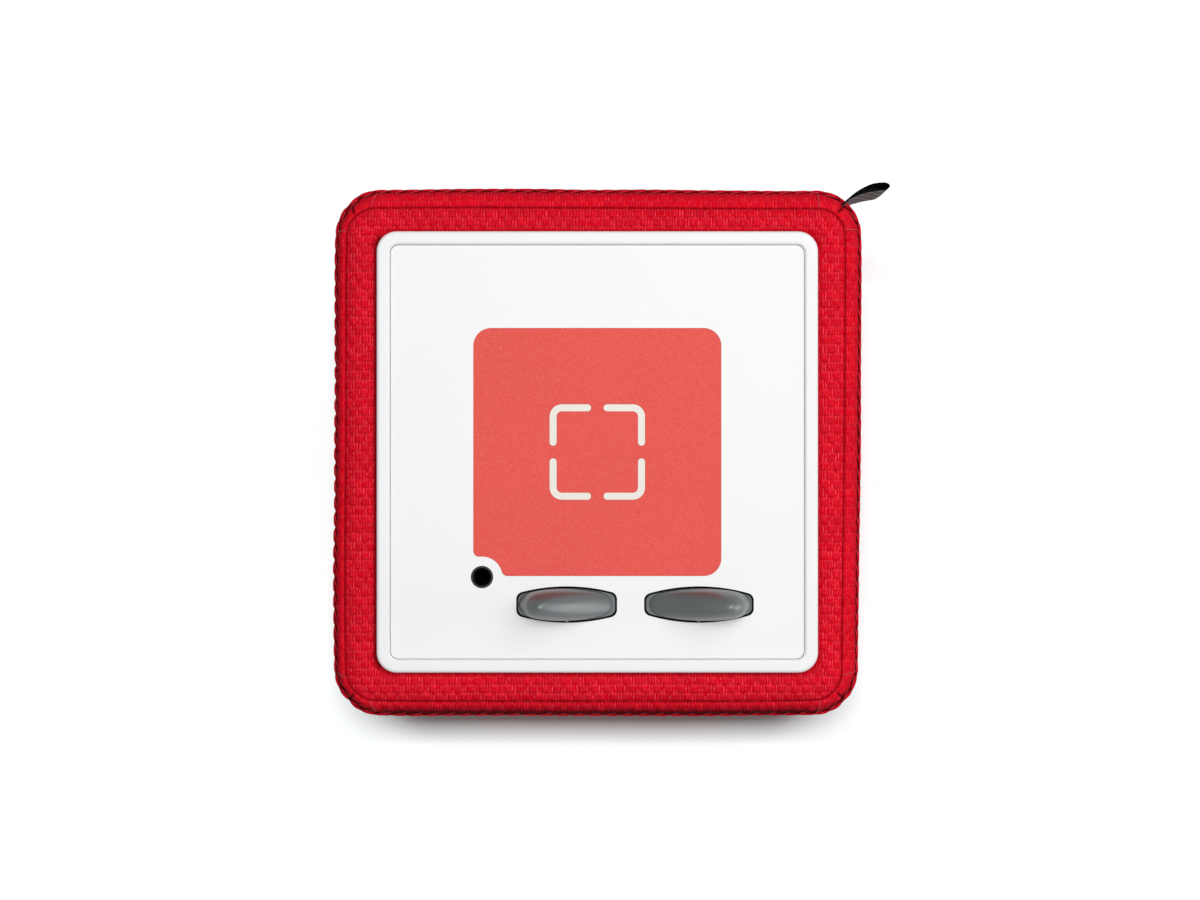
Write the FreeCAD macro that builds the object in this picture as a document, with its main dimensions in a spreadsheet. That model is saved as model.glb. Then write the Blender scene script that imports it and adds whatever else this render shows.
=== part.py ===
import FreeCAD, Part
import math
import os
import re
import Sketcher

# Soft cube-shaped audio story player for small children: a padded textile
# cover over a plastic core with a speaker, a rechargeable battery and two
# ear-like rocker levers beside a dock plate on top.
# Frame: origin on the table under the middle of the player, +Z up, -Y is the
# front with the levers and the speaker, +X is to the user's right.

doc = FreeCAD.newDocument("story_player")
UP = FreeCAD.Vector(0, 0, 1)

# ---------------------------------------------------------------- sizes (mm)
SIZES = {
    # clearances
    "soft_gap": 0.3,
    "fit_gap": 0.15,
    "running_gap": 0.03,
    # textile cover and padding
    "cover_width": 125.0,
    "cover_bottom": 2.0,
    "cover_height": 120.4,
    "cover_corner_radius": 11.0,
    "cover_edge_radius": 3.0,
    "fabric_thickness": 1.2,
    "tag_length": 12.0,
    "tag_width": 6.0,
    "tag_thickness": 1.2,
    "tag_angle": 26.0,
    "tag_lean": -20.0,
    "tag_seam": 43.0,
    "tag_level": 116.0,
    # core box
    "core_width": 101.0,
    "core_wall": 2.2,
    "core_floor": 2.4,
    "core_corner_radius": 4.0,
    "pillar_place": 43.2,
    "pillar_wall": 3.0,
    "boss_radius": 3.6,
    "boss_height": 6.0,
    "screw_radius": 1.1,
    "screw_head_radius": 2.4,
    "screw_head_height": 1.8,
    "deck_screw_length": 9.0,
    # bezel frame and top panel
    "bezel_width": 105.1,
    "bezel_corner_radius": 4.8,
    "rim_width": 3.25,
    "rim_height": 1.8,
    "rim_step": 0.5,
    "ledge_width": 3.0,
    "ledge_thickness": 1.0,
    "spigot_wall": 1.8,
    "spigot_height": 6.6,
    "tab_thickness": 2.0,
    "rim_round": 0.7,
    "panel_thickness": 2.4,
    "panel_corner_radius": 1.9,
    "panel_gap": 0.07,
    "panel_round": 0.2,
    "clip_width": 8.0,
    "clip_wall": 1.3,
    "clip_length": 5.2,
    "clip_nib": 0.8,
    # dock plate, mark and reader
    "dock_width": 59.0,
    "dock_corner_radius": 4.2,
    "dock_thickness": 1.2,
    "notch_radius": 4.9,
    "notch_blend": 1.4,
    "mark_width": 22.7,
    "mark_stroke": 1.66,
    "mark_gap": 3.0,
    "mark_corner_radius": 2.9,
    "mark_depth": 0.4,
    "inlay_gap": 0.03,
    "magnet_radius": 6.0,
    "magnet_height": 3.0,
    "magnet_rib": 1.3,
    "reader_width": 48.0,
    "reader_board": 1.0,
    "reader_drop": 2.4,
    "stud_radius": 2.0,
    "coil_width": 34.0,
    "coil_track": 0.9,
    "coil_copper": 0.15,
    "coil_turns": 4.0,
    # headphone socket
    "jack_x": -27.45,
    "jack_y": -29.76,
    "jack_bore_radius": 1.8,
    "jack_depth": 14.0,
    "jack_floor": 0.8,
    "collar_radius": 2.65,
    "collar_flange": 3.6,
    "collar_flange_height": 0.6,
    "collar_bevel": 0.4,
    "socket_width": 7.0,
    # rocker levers
    "volume_x": -7.3,
    "track_x": 24.2,
    "lever_y": -36.3,
    "volume_slot_length": 23.6,
    "track_slot_length": 25.7,
    "slot_width": 8.3,
    "slot_side_radius": 43.0,
    "slot_end_radius": 1.6,
    "lever_gap": 0.3,
    "pivot_depth": 4.0,
    "lever_below_pivot": 2.0,
    "fin_height": 12.0,
    "fin_tip_half_length": 2.75,
    "fin_tip_inset": 2.6,
    "lever_bury": 0.6,
    "pin_radius": 1.0,
    "cheek_thickness": 2.6,
    "cheek_width": 6.0,
    "foot_reach": 8.0,
    "foot_size": 3.0,
    "foot_gap": 0.1,
    "dome_radius": 2.6,
    "dome_height": 2.9,
    "carrier_thickness": 1.8,
    "carrier_left": -18.5,
    "carrier_right": 36.0,
    "carrier_screw_y": 6.2,
    "carrier_margin": 3.2,
    "panel_boss_radius": 2.6,
    "control_screw_length": 8.0,
    "board_thickness": 1.6,
    # bottom plate and feet
    "floor_opening": 94.0,
    "base_width": 100.0,
    "foot_standoff": 0.8,
    "foot_ring_width": 88.0,
    "foot_ring_band": 6.0,
    "foot_ring_depth": 0.8,
    "foot_corner_radius": 6.0,
    "base_screw_place": 30.0,
    "base_screw_length": 7.0,
    # speaker
    "speaker_level": 62.0,
    "speaker_radius": 28.5,
    "speaker_hole_radius": 24.6,
    "speaker_flange": 1.6,
    "gasket_thickness": 0.8,
    "basket_depth": 13.0,
    "basket_wall": 1.2,
    "basket_back_radius": 15.0,
    "magnet_can_radius": 16.0,
    "magnet_can_height": 11.0,
    "cone_radius": 18.6,
    "cone_neck_radius": 6.6,
    "cone_depth": 7.0,
    "cone_wall": 0.5,
    "cone_setback": 2.6,
    "coil_former_length": 8.5,
    "pole_radius": 5.8,
    "coil_slot_radius": 8.0,
    "surround_radius": 22.6,
    "surround_height": 1.6,
    "cone_travel": 1.0,
    "speaker_screw_circle": 26.6,
    "grille_radius": 29.5,
    "grille_thickness": 1.2,
    "grille_hole_radius": 2.0,
    "grille_pitch": 6.4,
    "foam_window_radius": 31.0,
    # rear service plate
    "service_level": 22.0,
    "service_width": 46.0,
    "service_height": 18.0,
    "service_radius": 5.0,
    "service_flange": 2.2,
    "service_flange_thickness": 1.6,
    "service_wall": 1.6,
    "service_face": 2.0,
    "service_seat": 0.8,
    "service_recess": 2.5,
    "usb_x": 12.0,
    "usb_width": 9.0,
    "usb_height": 3.2,
    "usb_shell": 0.4,
    "usb_depth": 9.4,
    "io_depth": 8.6,
    "button_x": -12.0,
    "button_radius": 4.5,
    "button_proud": 1.0,
    "button_flange": 0.9,
    "button_travel": 0.7,
    "plunger_radius": 1.5,
    "plunger_length": 2.0,
    "switch_width": 6.0,
    "switch_height": 3.5,
    "pipe_radius": 1.0,
    # main board and battery
    "main_board_level": 31.0,
    "main_board_width": 72.0,
    "main_board_depth": 60.0,
    "main_board_y": 4.0,
    "post_radius": 2.6,
    "post_x": 31.0,
    "post_y": 25.0,
    "post_screw_length": 6.0,
    "cell_radius": 9.2,
    "cell_length": 65.2,
    "cell_pitch": 19.6,
    "cradle_wall": 1.6,
    "cradle_height": 8.0,
    "chip_half": 6.0,
    "chip_height": 1.4,
    "card_half_x": 5.5,
    "card_half_y": 7.5,
    "connector_half_x": 4.0,
    "connector_half_y": 2.2,
    "connector_height": 3.0,
    "ribbon_x": 21.0,
    "ribbon_y": -22.5,
    "control_plug_y": -29.0,
    "ribbon_width": 6.0,
    "ribbon_thickness": 0.5,
    "battery_plug_x": 29.0,
    "battery_plug_y": 4.0,
    "speaker_plug_x": -14.0,
    "speaker_plug_y": -22.5,
    "strap_width": 10.0,
    "strap_thickness": 0.8,
    "lead_radius": 0.6,
    "lead_loop": 8.4,
}

dims = doc.addObject("Spreadsheet::Sheet", "dims")
for row, (alias, value) in enumerate(SIZES.items(), start=1):
    dims.set(f"A{row}", alias)
    dims.set(f"B{row}", str(value))
    dims.setAlias(f"B{row}", alias)
doc.recompute()

# --------------------------------------------------- levels worked out once
COVER_TOP = "(cover_bottom + cover_height)"
RIM_UNDER = f"({COVER_TOP} + soft_gap)"
RIM_TOP = f"({RIM_UNDER} + rim_height)"
PANEL_TOP = f"({RIM_TOP} - rim_step)"
PANEL_UNDER = f"({PANEL_TOP} - panel_thickness)"
CORE_TOP = f"({PANEL_UNDER} - ledge_thickness)"
CORE_UNDER = "(cover_bottom + fabric_thickness + soft_gap)"
FLOOR_TOP = f"({CORE_UNDER} + core_floor)"
CORE_HALF = "(core_width/2)"
CORE_INNER = f"({CORE_HALF} - core_wall)"
PANEL_OPENING = "(bezel_width/2 - rim_width)"
LEDGE_INNER = f"({PANEL_OPENING} - ledge_width)"
COVER_INNER = "(cover_width/2 - fabric_thickness)"
PIVOT_LEVEL = f"({PANEL_TOP} - pivot_depth)"
SOCKET_UNDER = f"({PANEL_TOP} - jack_depth - jack_floor)"
BOARD_TOP = SOCKET_UNDER
BOARD_UNDER = f"({BOARD_TOP} - board_thickness)"
SERVICE_OUT = f"(cover_width/2 - {CORE_HALF} + soft_gap + service_flange_thickness)"
FACE_OUTER = f"({SERVICE_OUT} - service_recess)"
FACE_INNER = f"({FACE_OUTER} - service_face)"
IO_TOP = f"({FACE_INNER} - io_depth)"
IO_UNDER = f"({IO_TOP} - board_thickness)"
SKIRT_END = f"min(-service_seat; {IO_UNDER})"
BASE_UNDER = "foot_standoff"
BASE_FLANGE_TOP = "(cover_bottom - soft_gap)"


# ------------------------------------------------------------------ helpers
def bound(expression):
    """Expression with every size written as its spreadsheet alias."""
    def with_sheet(match):
        word = match.group()
        return "dims." + word if word in SIZES else word
    return re.sub(r"[a-z_][a-z_0-9]*", with_sheet, expression)


def size(expression):
    """Present value of an expression of sheet sizes."""
    return float(dims.evalExpression(bound(expression)))


def new_body(name):
    return doc.addObject("PartDesign::Body", name)


def origin_item(body, role):
    return next(item for item in body.Origin.OriginFeatures if item.Role == role)


def sketch(body, level="0", role="XY_Plane"):
    """Sketch on an origin plane of the body, moved by level along its normal."""
    profile = body.newObject("Sketcher::SketchObject", body.Name + "_profile")
    profile.AttachmentSupport = [(origin_item(body, role), "")]
    profile.MapMode = "FlatFace"
    profile.setExpression("AttachmentOffset.Base.z", bound(level))
    return profile


def dimension(profile, kind, expression, *where):
    """Sketch dimension bound to the sheet."""
    constraint = Sketcher.Constraint(kind, *where, size(expression))
    index = profile.addConstraint(constraint)
    name = f"size_{index}"
    profile.renameConstraint(index, name)
    profile.setExpression("Constraints." + name, bound(expression))


def point(x, y):
    return FreeCAD.Vector(x, y, 0)


def circle(profile, x, y, radius):
    shape = Part.Circle(point(size(x), size(y)), UP, size(radius))
    item = profile.addGeometry(shape, False)
    dimension(profile, "DistanceX", x, -1, 1, item, 3)
    dimension(profile, "DistanceY", y, -1, 1, item, 3)
    dimension(profile, "Radius", radius, item)


def polygon(profile, corners):
    """Closed polygon whose corners are pairs of expressions."""
    places = [point(size(x), size(y)) for x, y in corners]
    count = len(places)
    items = []
    for index in range(count):
        line = Part.LineSegment(places[index], places[(index + 1) % count])
        items.append(profile.addGeometry(line, False))
    for index in range(count):
        following = items[(index + 1) % count]
        profile.addConstraint(Sketcher.Constraint("Coincident", items[index], 2, following, 1))
    for item, (x, y) in zip(items, corners):
        dimension(profile, "DistanceX", x, -1, 1, item, 1)
        dimension(profile, "DistanceY", y, -1, 1, item, 1)


def rectangle(profile, x, y, half_x, half_y):
    """Rectangle about a centre."""
    left, right = f"{x} - {half_x}", f"{x} + {half_x}"
    low, high = f"{y} - {half_y}", f"{y} + {half_y}"
    polygon(profile, [(left, low), (right, low), (right, high), (left, high)])


def rounded_rectangle(profile, x, y, half_x, half_y, radius):
    """Rectangle about a centre with tangent corner arcs of one radius."""
    mid_x, mid_y = size(x), size(y)
    reach_x, reach_y, round_off = size(half_x), size(half_y), size(radius)
    flat_x, flat_y = reach_x - round_off, reach_y - round_off
    turns = [(1, -1, -90), (1, 1, 0), (-1, 1, 90), (-1, -1, 180)]
    lines = []
    arcs = []
    starts = [(-flat_x, -reach_y), (reach_x, -flat_y), (flat_x, reach_y), (-reach_x, flat_y)]
    ends = [(flat_x, -reach_y), (reach_x, flat_y), (-flat_x, reach_y), (-reach_x, -flat_y)]
    for start, end, (side_x, side_y, angle) in zip(starts, ends, turns):
        first = point(mid_x + start[0], mid_y + start[1])
        last = point(mid_x + end[0], mid_y + end[1])
        lines.append(profile.addGeometry(Part.LineSegment(first, last), False))
        centre = point(mid_x + side_x * flat_x, mid_y + side_y * flat_y)
        corner = Part.Circle(centre, UP, round_off)
        arc = Part.ArcOfCircle(corner, math.radians(angle), math.radians(angle + 90))
        arcs.append(profile.addGeometry(arc, False))
    for index in range(4):
        following = lines[(index + 1) % 4]
        profile.addConstraint(Sketcher.Constraint("Tangent", lines[index], 2, arcs[index], 1))
        profile.addConstraint(Sketcher.Constraint("Tangent", arcs[index], 2, following, 1))
    for index, kind in enumerate(["Horizontal", "Vertical", "Horizontal", "Vertical"]):
        profile.addConstraint(Sketcher.Constraint(kind, lines[index]))
    for arc in arcs[1:]:
        profile.addConstraint(Sketcher.Constraint("Equal", arcs[0], arc))
    dimension(profile, "Radius", radius, arcs[0])
    dimension(profile, "DistanceX", f"{x} + {half_x}", -1, 1, lines[1], 1)
    dimension(profile, "DistanceX", f"{x} - {half_x}", -1, 1, lines[3], 1)
    dimension(profile, "DistanceY", f"{y} - {half_y}", -1, 1, lines[0], 1)
    dimension(profile, "DistanceY", f"{y} + {half_y}", -1, 1, lines[2], 1)


def pad(body, profile, length):
    feature = body.newObject("PartDesign::Pad", body.Name + "_pad")
    feature.Profile = profile
    feature.setExpression("Length", bound(length))
    doc.recompute()
    return feature


def pocket(body, profile, length):
    """Cut from the sketch along its normal; raises if nothing is removed."""
    before = body.Shape.Volume
    feature = body.newObject("PartDesign::Pocket", body.Name + "_pocket")
    feature.Profile = profile
    feature.Reversed = True
    feature.setExpression("Length", bound(length))
    doc.recompute()
    if body.Shape.Volume >= before:
        raise RuntimeError(body.Name + ": a pocket removes nothing")
    return feature


def revolve(body, profile, axis="V_Axis"):
    feature = body.newObject("PartDesign::Revolution", body.Name + "_revolution")
    feature.Profile = profile
    feature.ReferenceAxis = (profile, [axis])
    feature.Angle = 360
    doc.recompute()
    return feature


def four_times(body, features):
    """The features repeated at the four quarter turns about Z."""
    pattern = body.newObject("PartDesign::PolarPattern", body.Name + "_quarters")
    pattern.Originals = features
    pattern.Axis = (origin_item(body, "Z_Axis"), [""])
    pattern.Angle = 360
    pattern.Occurrences = 4
    body.Tip = pattern
    doc.recompute()
    return pattern


def edges_where(shape, test):
    """Names of the edges whose box centre and box pass the test."""
    names = []
    for index, edge in enumerate(shape.Edges, start=1):
        if test(edge.BoundBox):
            names.append(f"Edge{index}")
    return names


def fillet(body, names, radius):
    base = body.Tip
    feature = body.newObject("PartDesign::Fillet", body.Name + "_fillet")
    feature.Base = (base, names)
    feature.setExpression("Radius", bound(radius))
    doc.recompute()
    return feature


def chamfer(body, names, width):
    base = body.Tip
    feature = body.newObject("PartDesign::Chamfer", body.Name + "_chamfer")
    feature.Base = (base, names)
    feature.setExpression("Size", bound(width))
    doc.recompute()
    return feature


def place(item, x="0", y="0", z="0"):
    item.setExpression("Placement.Base.x", bound(x))
    item.setExpression("Placement.Base.y", bound(y))
    item.setExpression("Placement.Base.z", bound(z))


def box(name, x, y, z, length, width, height):
    """Box from its low corner."""
    item = doc.addObject("Part::Box", name)
    for key, expression in (("Length", length), ("Width", width), ("Height", height)):
        item.setExpression(key, bound(expression))
    place(item, x, y, z)
    return item


AXIS_TURNS = {
    "+Z": FreeCAD.Rotation(),
    "+X": FreeCAD.Rotation(FreeCAD.Vector(0, 1, 0), 90),
    "+Y": FreeCAD.Rotation(FreeCAD.Vector(1, 0, 0), -90),
    "-Y": FreeCAD.Rotation(FreeCAD.Vector(1, 0, 0), 90),
    "-Z": FreeCAD.Rotation(FreeCAD.Vector(1, 0, 0), 180),
}


def cylinder(name, x, y, z, radius, height, axis="+Z"):
    """Cylinder that starts at a point and runs along an axis."""
    item = doc.addObject("Part::Cylinder", name)
    item.setExpression("Radius", bound(radius))
    item.setExpression("Height", bound(height))
    item.Placement = FreeCAD.Placement(FreeCAD.Vector(), AXIS_TURNS[axis])
    place(item, x, y, z)
    return item


def cone(name, x, y, z, start_radius, end_radius, height, axis="+Z"):
    item = doc.addObject("Part::Cone", name)
    item.setExpression("Radius1", bound(start_radius))
    item.setExpression("Radius2", bound(end_radius))
    item.setExpression("Height", bound(height))
    item.Placement = FreeCAD.Placement(FreeCAD.Vector(), AXIS_TURNS[axis])
    place(item, x, y, z)
    return item


def fuse(name, items):
    item = doc.addObject("Part::MultiFuse", name)
    item.Shapes = items
    item.Refine = True
    doc.recompute()
    return item


def cut(name, base, tools):
    item = doc.addObject("Part::Cut", name)
    item.Base = base
    item.Tool = tools[0] if len(tools) == 1 else fuse(name + "_tools", tools)
    item.Refine = True
    doc.recompute()
    return item


def common(name, items):
    item = doc.addObject("Part::MultiCommon", name)
    item.Shapes = items
    doc.recompute()
    return item


def group(name, items):
    """Separate solids kept as one sub-part."""
    item = doc.addObject("Part::Compound", name)
    item.Links = items
    doc.recompute()
    return item


def set_shape(name, shape):
    item = doc.addObject("Part::Feature", name)
    item.Shape = shape
    return item


def screw(name, x, y, z, length, axis):
    """Pan head screw: its head starts at the point, its shank runs along axis."""
    head = cylinder(name + "_head", x, y, z, "screw_head_radius", "screw_head_height", axis)
    total = f"screw_head_height + {length}"
    shank = cylinder(name + "_shank", x, y, z, "screw_radius - fit_gap", total, axis)
    return fuse(name, [head, shank])


QUARTERS = [(1, 1), (-1, 1), (-1, -1), (1, -1)]

nodes = []


def node(item, label):
    """Keeps a finished sub-part and names its file."""
    item.Label = label
    nodes.append(item)


# ---------------------------------------------- textile cover, six sewn parts
def rounded_block(name, half, radius, low, high, edge):
    """Square block with round vertical corners and round upper and lower edges."""
    body = new_body(name)
    profile = sketch(body, low)
    rounded_rectangle(profile, "0", "0", half, half, radius)
    pad(body, profile, f"{high} - {low}")
    flat_edges = edges_where(body.Shape, lambda bounds: bounds.ZLength < 1e-6)
    fillet(body, flat_edges, edge)
    return body


cover_outside = rounded_block(
    "cover_outside", "cover_width/2", "cover_corner_radius",
    "cover_bottom", COVER_TOP, "cover_edge_radius")
cover_inside = rounded_block(
    "cover_inside", COVER_INNER, "(cover_corner_radius - fabric_thickness)",
    "(cover_bottom + fabric_thickness)", f"({COVER_TOP} - fabric_thickness)",
    "cover_edge_radius - fabric_thickness")
TOP_OPENING = f"({CORE_HALF} + soft_gap)"
FLOOR_OPENING = "(floor_opening/2)"
SERVICE_HALF_X = "(service_width/2)"
SERVICE_HALF_Z = "(service_height/2)"
deck_opening = box(
    "deck_opening", f"-{TOP_OPENING}", f"-{TOP_OPENING}", f"{COVER_TOP} - cover_edge_radius",
    f"2*{TOP_OPENING}", f"2*{TOP_OPENING}", "2*cover_edge_radius")
underside_opening = box(
    "underside_opening", f"-{FLOOR_OPENING}", f"-{FLOOR_OPENING}", "cover_bottom - cover_edge_radius",
    "floor_opening", "floor_opening", "2*cover_edge_radius")
service_opening = box(
    "service_opening", f"-{SERVICE_HALF_X} - soft_gap", CORE_HALF,
    f"service_level - {SERVICE_HALF_Z} - soft_gap", "service_width + 2*soft_gap",
    "cover_width/2", "service_height + 2*soft_gap")


def tag_block(name, gap):
    """Folded ribbon that stands out of the corner seam, leaning on its long edge."""
    heading = FreeCAD.Rotation(UP, size("tag_angle"))
    lean = FreeCAD.Rotation(FreeCAD.Vector(1, 0, 0), size("tag_lean"))
    turn = heading.multiply(lean)
    arc_centre = size("cover_width/2 - cover_corner_radius")
    reach = size("cover_corner_radius - fabric_thickness")
    seam = FreeCAD.Rotation(UP, size("tag_seam")).multVec(FreeCAD.Vector(reach, 0, 0))
    root = FreeCAD.Vector(arc_centre, arc_centre, size("tag_level")) + seam
    low_corner = FreeCAD.Vector(0, -size(f"tag_thickness/2 + {gap}"), -size(f"tag_width/2 + {gap}"))
    item = doc.addObject("Part::Box", name)
    item.setExpression("Length", bound("tag_length"))
    item.setExpression("Width", bound(f"tag_thickness + 2*{gap}"))
    item.setExpression("Height", bound(f"tag_width + 2*{gap}"))
    item.Placement = FreeCAD.Placement(root + turn.multVec(low_corner), turn)
    return item


corner_tag = tag_block("corner_tag", "0")
tag_slit = tag_block("tag_slit", "running_gap")
cover_shell = cut(
    "cover_shell", cover_outside,
    [cover_inside, deck_opening, underside_opening, service_opening, tag_slit])
node(corner_tag, "corner_tag")

LID_SEAM = f"({COVER_TOP} - cover_edge_radius)"
HEM_SEAM = "(cover_bottom + cover_edge_radius)"
OUT = "cover_width"


def seam_wedge(name, corners, low, high):
    body = new_body(name)
    profile = sketch(body, low)
    polygon(profile, corners)
    pad(body, profile, f"{high} - {low}")
    return body


lid_block = box("lid_block", f"-{OUT}", f"-{OUT}", LID_SEAM, f"2*{OUT}", f"2*{OUT}", OUT)
node(common("top_fabric", [cover_shell, lid_block]), "top_fabric")
hem_block = box("hem_block", f"-{OUT}", f"-{OUT}", f"{HEM_SEAM} - {OUT}", f"2*{OUT}", f"2*{OUT}", OUT)
node(common("bottom_fabric", [cover_shell, hem_block]), "bottom_fabric")
SIDES = {
    "front": [("0", "0"), (f"-{OUT}", f"-{OUT}"), (OUT, f"-{OUT}")],
    "right": [("0", "0"), (OUT, f"-{OUT}"), (OUT, OUT)],
    "back": [("0", "0"), (OUT, OUT), (f"-{OUT}", OUT)],
    "left": [("0", "0"), (f"-{OUT}", OUT), (f"-{OUT}", f"-{OUT}")],
}
for side, corners in SIDES.items():
    wedge = seam_wedge(side + "_wedge", corners, HEM_SEAM, LID_SEAM)
    node(common(side + "_fabric", [cover_shell, wedge]), side + "_fabric")

# ------------------------------------------------------------- foam padding
FOAM_OUTER = f"({COVER_INNER} - soft_gap)"
FOAM_INNER = f"({CORE_HALF} + soft_gap)"
foam_blank = rounded_block(
    "foam_blank", FOAM_OUTER, "(cover_corner_radius - fabric_thickness - soft_gap)",
    CORE_UNDER, CORE_TOP, "cover_edge_radius - fabric_thickness")
core_space = box(
    "core_space", f"-{FOAM_INNER}", f"-{FOAM_INNER}", "0",
    f"2*{FOAM_INNER}", f"2*{FOAM_INNER}", f"2*{COVER_TOP}")
speaker_window = cylinder(
    "speaker_window", "0", "0", "speaker_level", "foam_window_radius", "cover_width", "-Y")
foam_ring = cut("foam_ring", foam_blank, [core_space, speaker_window, service_opening])
FOAM_BLOCKS = {
    "front": (f"-{OUT}", f"-{OUT}", f"2*{OUT}", f"{OUT} - {FOAM_INNER}"),
    "back": (f"-{OUT}", FOAM_INNER, f"2*{OUT}", OUT),
    "left": (f"-{OUT}", f"-{CORE_HALF}", OUT, "core_width"),
    "right": ("0", f"-{CORE_HALF}", OUT, "core_width"),
}
for side, (left, front, length, width) in FOAM_BLOCKS.items():
    block = box(side + "_block", left, front, "0", length, width, f"2*{COVER_TOP}")
    node(common(side + "_foam", [foam_ring, block]), side + "_foam")

# ------------------------------------------------------------- bezel frame
SPIGOT_UNDER = f"({CORE_TOP} - spigot_height)"
SPIGOT_OUTER = f"({CORE_INNER} - fit_gap)"
SPIGOT_INNER = f"({SPIGOT_OUTER} - spigot_wall)"
CLEAR_HOLE = "(screw_radius + fit_gap)"
PILOT_HOLE = "(screw_radius + running_gap)"
CLIP_OUTER = f"({SPIGOT_INNER} - fit_gap)"
CLIP_UNDER = f"({PANEL_UNDER} - clip_length)"
NIB_HEIGHT = "clip_wall"


def square_ring(body, level, outer, outer_radius, inner, inner_radius, height):
    profile = sketch(body, level)
    rounded_rectangle(profile, "0", "0", outer, outer, outer_radius)
    rounded_rectangle(profile, "0", "0", inner, inner, inner_radius)
    return pad(body, profile, height)


def corner_squares(body, level, inner, outer, height):
    """A square block in each of the four corners."""
    profile = sketch(body, level)
    polygon(profile, [(inner, inner), (outer, inner), (outer, outer), (inner, outer)])
    feature = pad(body, profile, height)
    four_times(body, [feature])


def corner_holes(body, level, place_at, radius, depth):
    """A round hole in each of the four corners, cut upward from the level."""
    profile = sketch(body, level)
    for side_x, side_y in QUARTERS:
        circle(profile, f"{side_x}*{place_at}", f"{side_y}*{place_at}", radius)
    pocket(body, profile, depth)


bezel = new_body("bezel_blank")
square_ring(bezel, f"{CORE_TOP}", CORE_HALF, "core_corner_radius",
            f"({PANEL_OPENING} - ledge_width)", "panel_corner_radius", "ledge_thickness")
square_ring(bezel, PANEL_UNDER, CORE_HALF, "core_corner_radius",
            PANEL_OPENING, "panel_corner_radius", f"{RIM_UNDER} - {PANEL_UNDER}")
square_ring(bezel, RIM_UNDER, "(bezel_width/2)", "bezel_corner_radius",
            PANEL_OPENING, "panel_corner_radius", "rim_height")
square_ring(bezel, SPIGOT_UNDER, SPIGOT_OUTER, "panel_corner_radius",
            SPIGOT_INNER, "panel_corner_radius/2", "spigot_height")
corner_squares(bezel, SPIGOT_UNDER, "(pillar_place - pillar_wall)",
               f"({SPIGOT_INNER} + spigot_wall/2)", "tab_thickness")
corner_holes(bezel, f"{SPIGOT_UNDER} - tab_thickness", "pillar_place", CLEAR_HOLE, "3*tab_thickness")
rim_edges = edges_where(
    bezel.Shape, lambda bounds: bounds.ZLength < 1e-6 and abs(bounds.ZMax - size(RIM_TOP)) < 1e-6)
fillet(bezel, rim_edges, "rim_round")
clip_window_x = box(
    "clip_window_x", f"-{OUT}", "-clip_width/2 - soft_gap", f"{CLIP_UNDER} - soft_gap",
    f"2*{OUT}", "clip_width + 2*soft_gap", f"{NIB_HEIGHT} + 2*soft_gap")
clip_window_y = box(
    "clip_window_y", "-clip_width/2 - soft_gap", f"-{OUT}", f"{CLIP_UNDER} - soft_gap",
    "clip_width + 2*soft_gap", f"2*{OUT}", f"{NIB_HEIGHT} + 2*soft_gap")
bezel_frame = cut("bezel_frame", bezel, [clip_window_x, clip_window_y])
node(bezel_frame, "bezel_frame")

# ---------------------------------------------- dock plate and its mark
DOCK_HALF = "(dock_width/2)"
DOCK_UNDER = f"({PANEL_TOP} - dock_thickness)"


def dock_blank(name, gap):
    """Square plate with one corner notched round the headphone socket."""
    body = new_body(name)
    profile = sketch(body, DOCK_UNDER)
    half = f"({DOCK_HALF} + {gap})"
    rounded_rectangle(profile, "0", "0", half, half, f"(dock_corner_radius + {gap})")
    pad(body, profile, f"dock_thickness + {gap}")
    notch = sketch(body, f"{DOCK_UNDER} - dock_thickness")
    circle(notch, "jack_x", "jack_y", f"(notch_radius - {gap})")
    pocket(body, notch, "3*dock_thickness")
    jack = point(size("jack_x"), size("jack_y"))
    reach = size("notch_radius + soft_gap")

    def at_notch_cusp(bounds):
        centre = point(bounds.Center.x, bounds.Center.y)
        upright = bounds.XLength < 1e-6 and bounds.YLength < 1e-6
        return upright and centre.distanceToPoint(jack) < reach

    fillet(body, edges_where(body.Shape, at_notch_cusp), f"(notch_blend - {gap})")
    return body


def bracket(name, turn, gap):
    """One corner of the placement mark: a round-ended stroke round a corner."""
    half = size("(mark_width - mark_stroke)/2")
    radius = size("mark_corner_radius - mark_stroke/2")
    tip = size("(mark_gap + mark_stroke)/2")
    level = size(f"{PANEL_TOP} - mark_depth")
    bend = half - radius
    first = FreeCAD.Vector(tip, half, level)
    before = FreeCAD.Vector(bend, half, level)
    middle = FreeCAD.Vector(bend + radius * math.sqrt(0.5), bend + radius * math.sqrt(0.5), level)
    after = FreeCAD.Vector(half, bend, level)
    last = FreeCAD.Vector(half, tip, level)
    path = Part.Wire([
        Part.LineSegment(first, before).toShape(),
        Part.Arc(before, middle, after).toShape(),
        Part.LineSegment(after, last).toShape()])
    stroke = path.makeOffset2D(size(f"mark_stroke/2 + {gap}"), 0, True, False)
    solid = stroke.extrude(FreeCAD.Vector(0, 0, size(f"mark_depth + {gap}")))
    item = set_shape(name, solid)
    item.Placement = FreeCAD.Placement(FreeCAD.Vector(), FreeCAD.Rotation(UP, turn))
    return item


mark_strokes = [bracket(f"mark_{turn}", turn, "0") for turn in (0, 90, 180, 270)]
node(group("dock_mark", mark_strokes), "dock_mark")
mark_recess = [bracket(f"mark_recess_{turn}", turn, "inlay_gap") for turn in (0, 90, 180, 270)]
dock_plate = cut("dock_plate", dock_blank("dock_blank", "0"), mark_recess)
node(dock_plate, "dock_plate")

# ----------------------------------------------------------- rocker levers
LEVERS = {
    "volume": {"x": "volume_x", "slot_length": "volume_slot_length", "lean": -1},
    "track": {"x": "track_x", "slot_length": "track_slot_length", "lean": 1},
}


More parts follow.
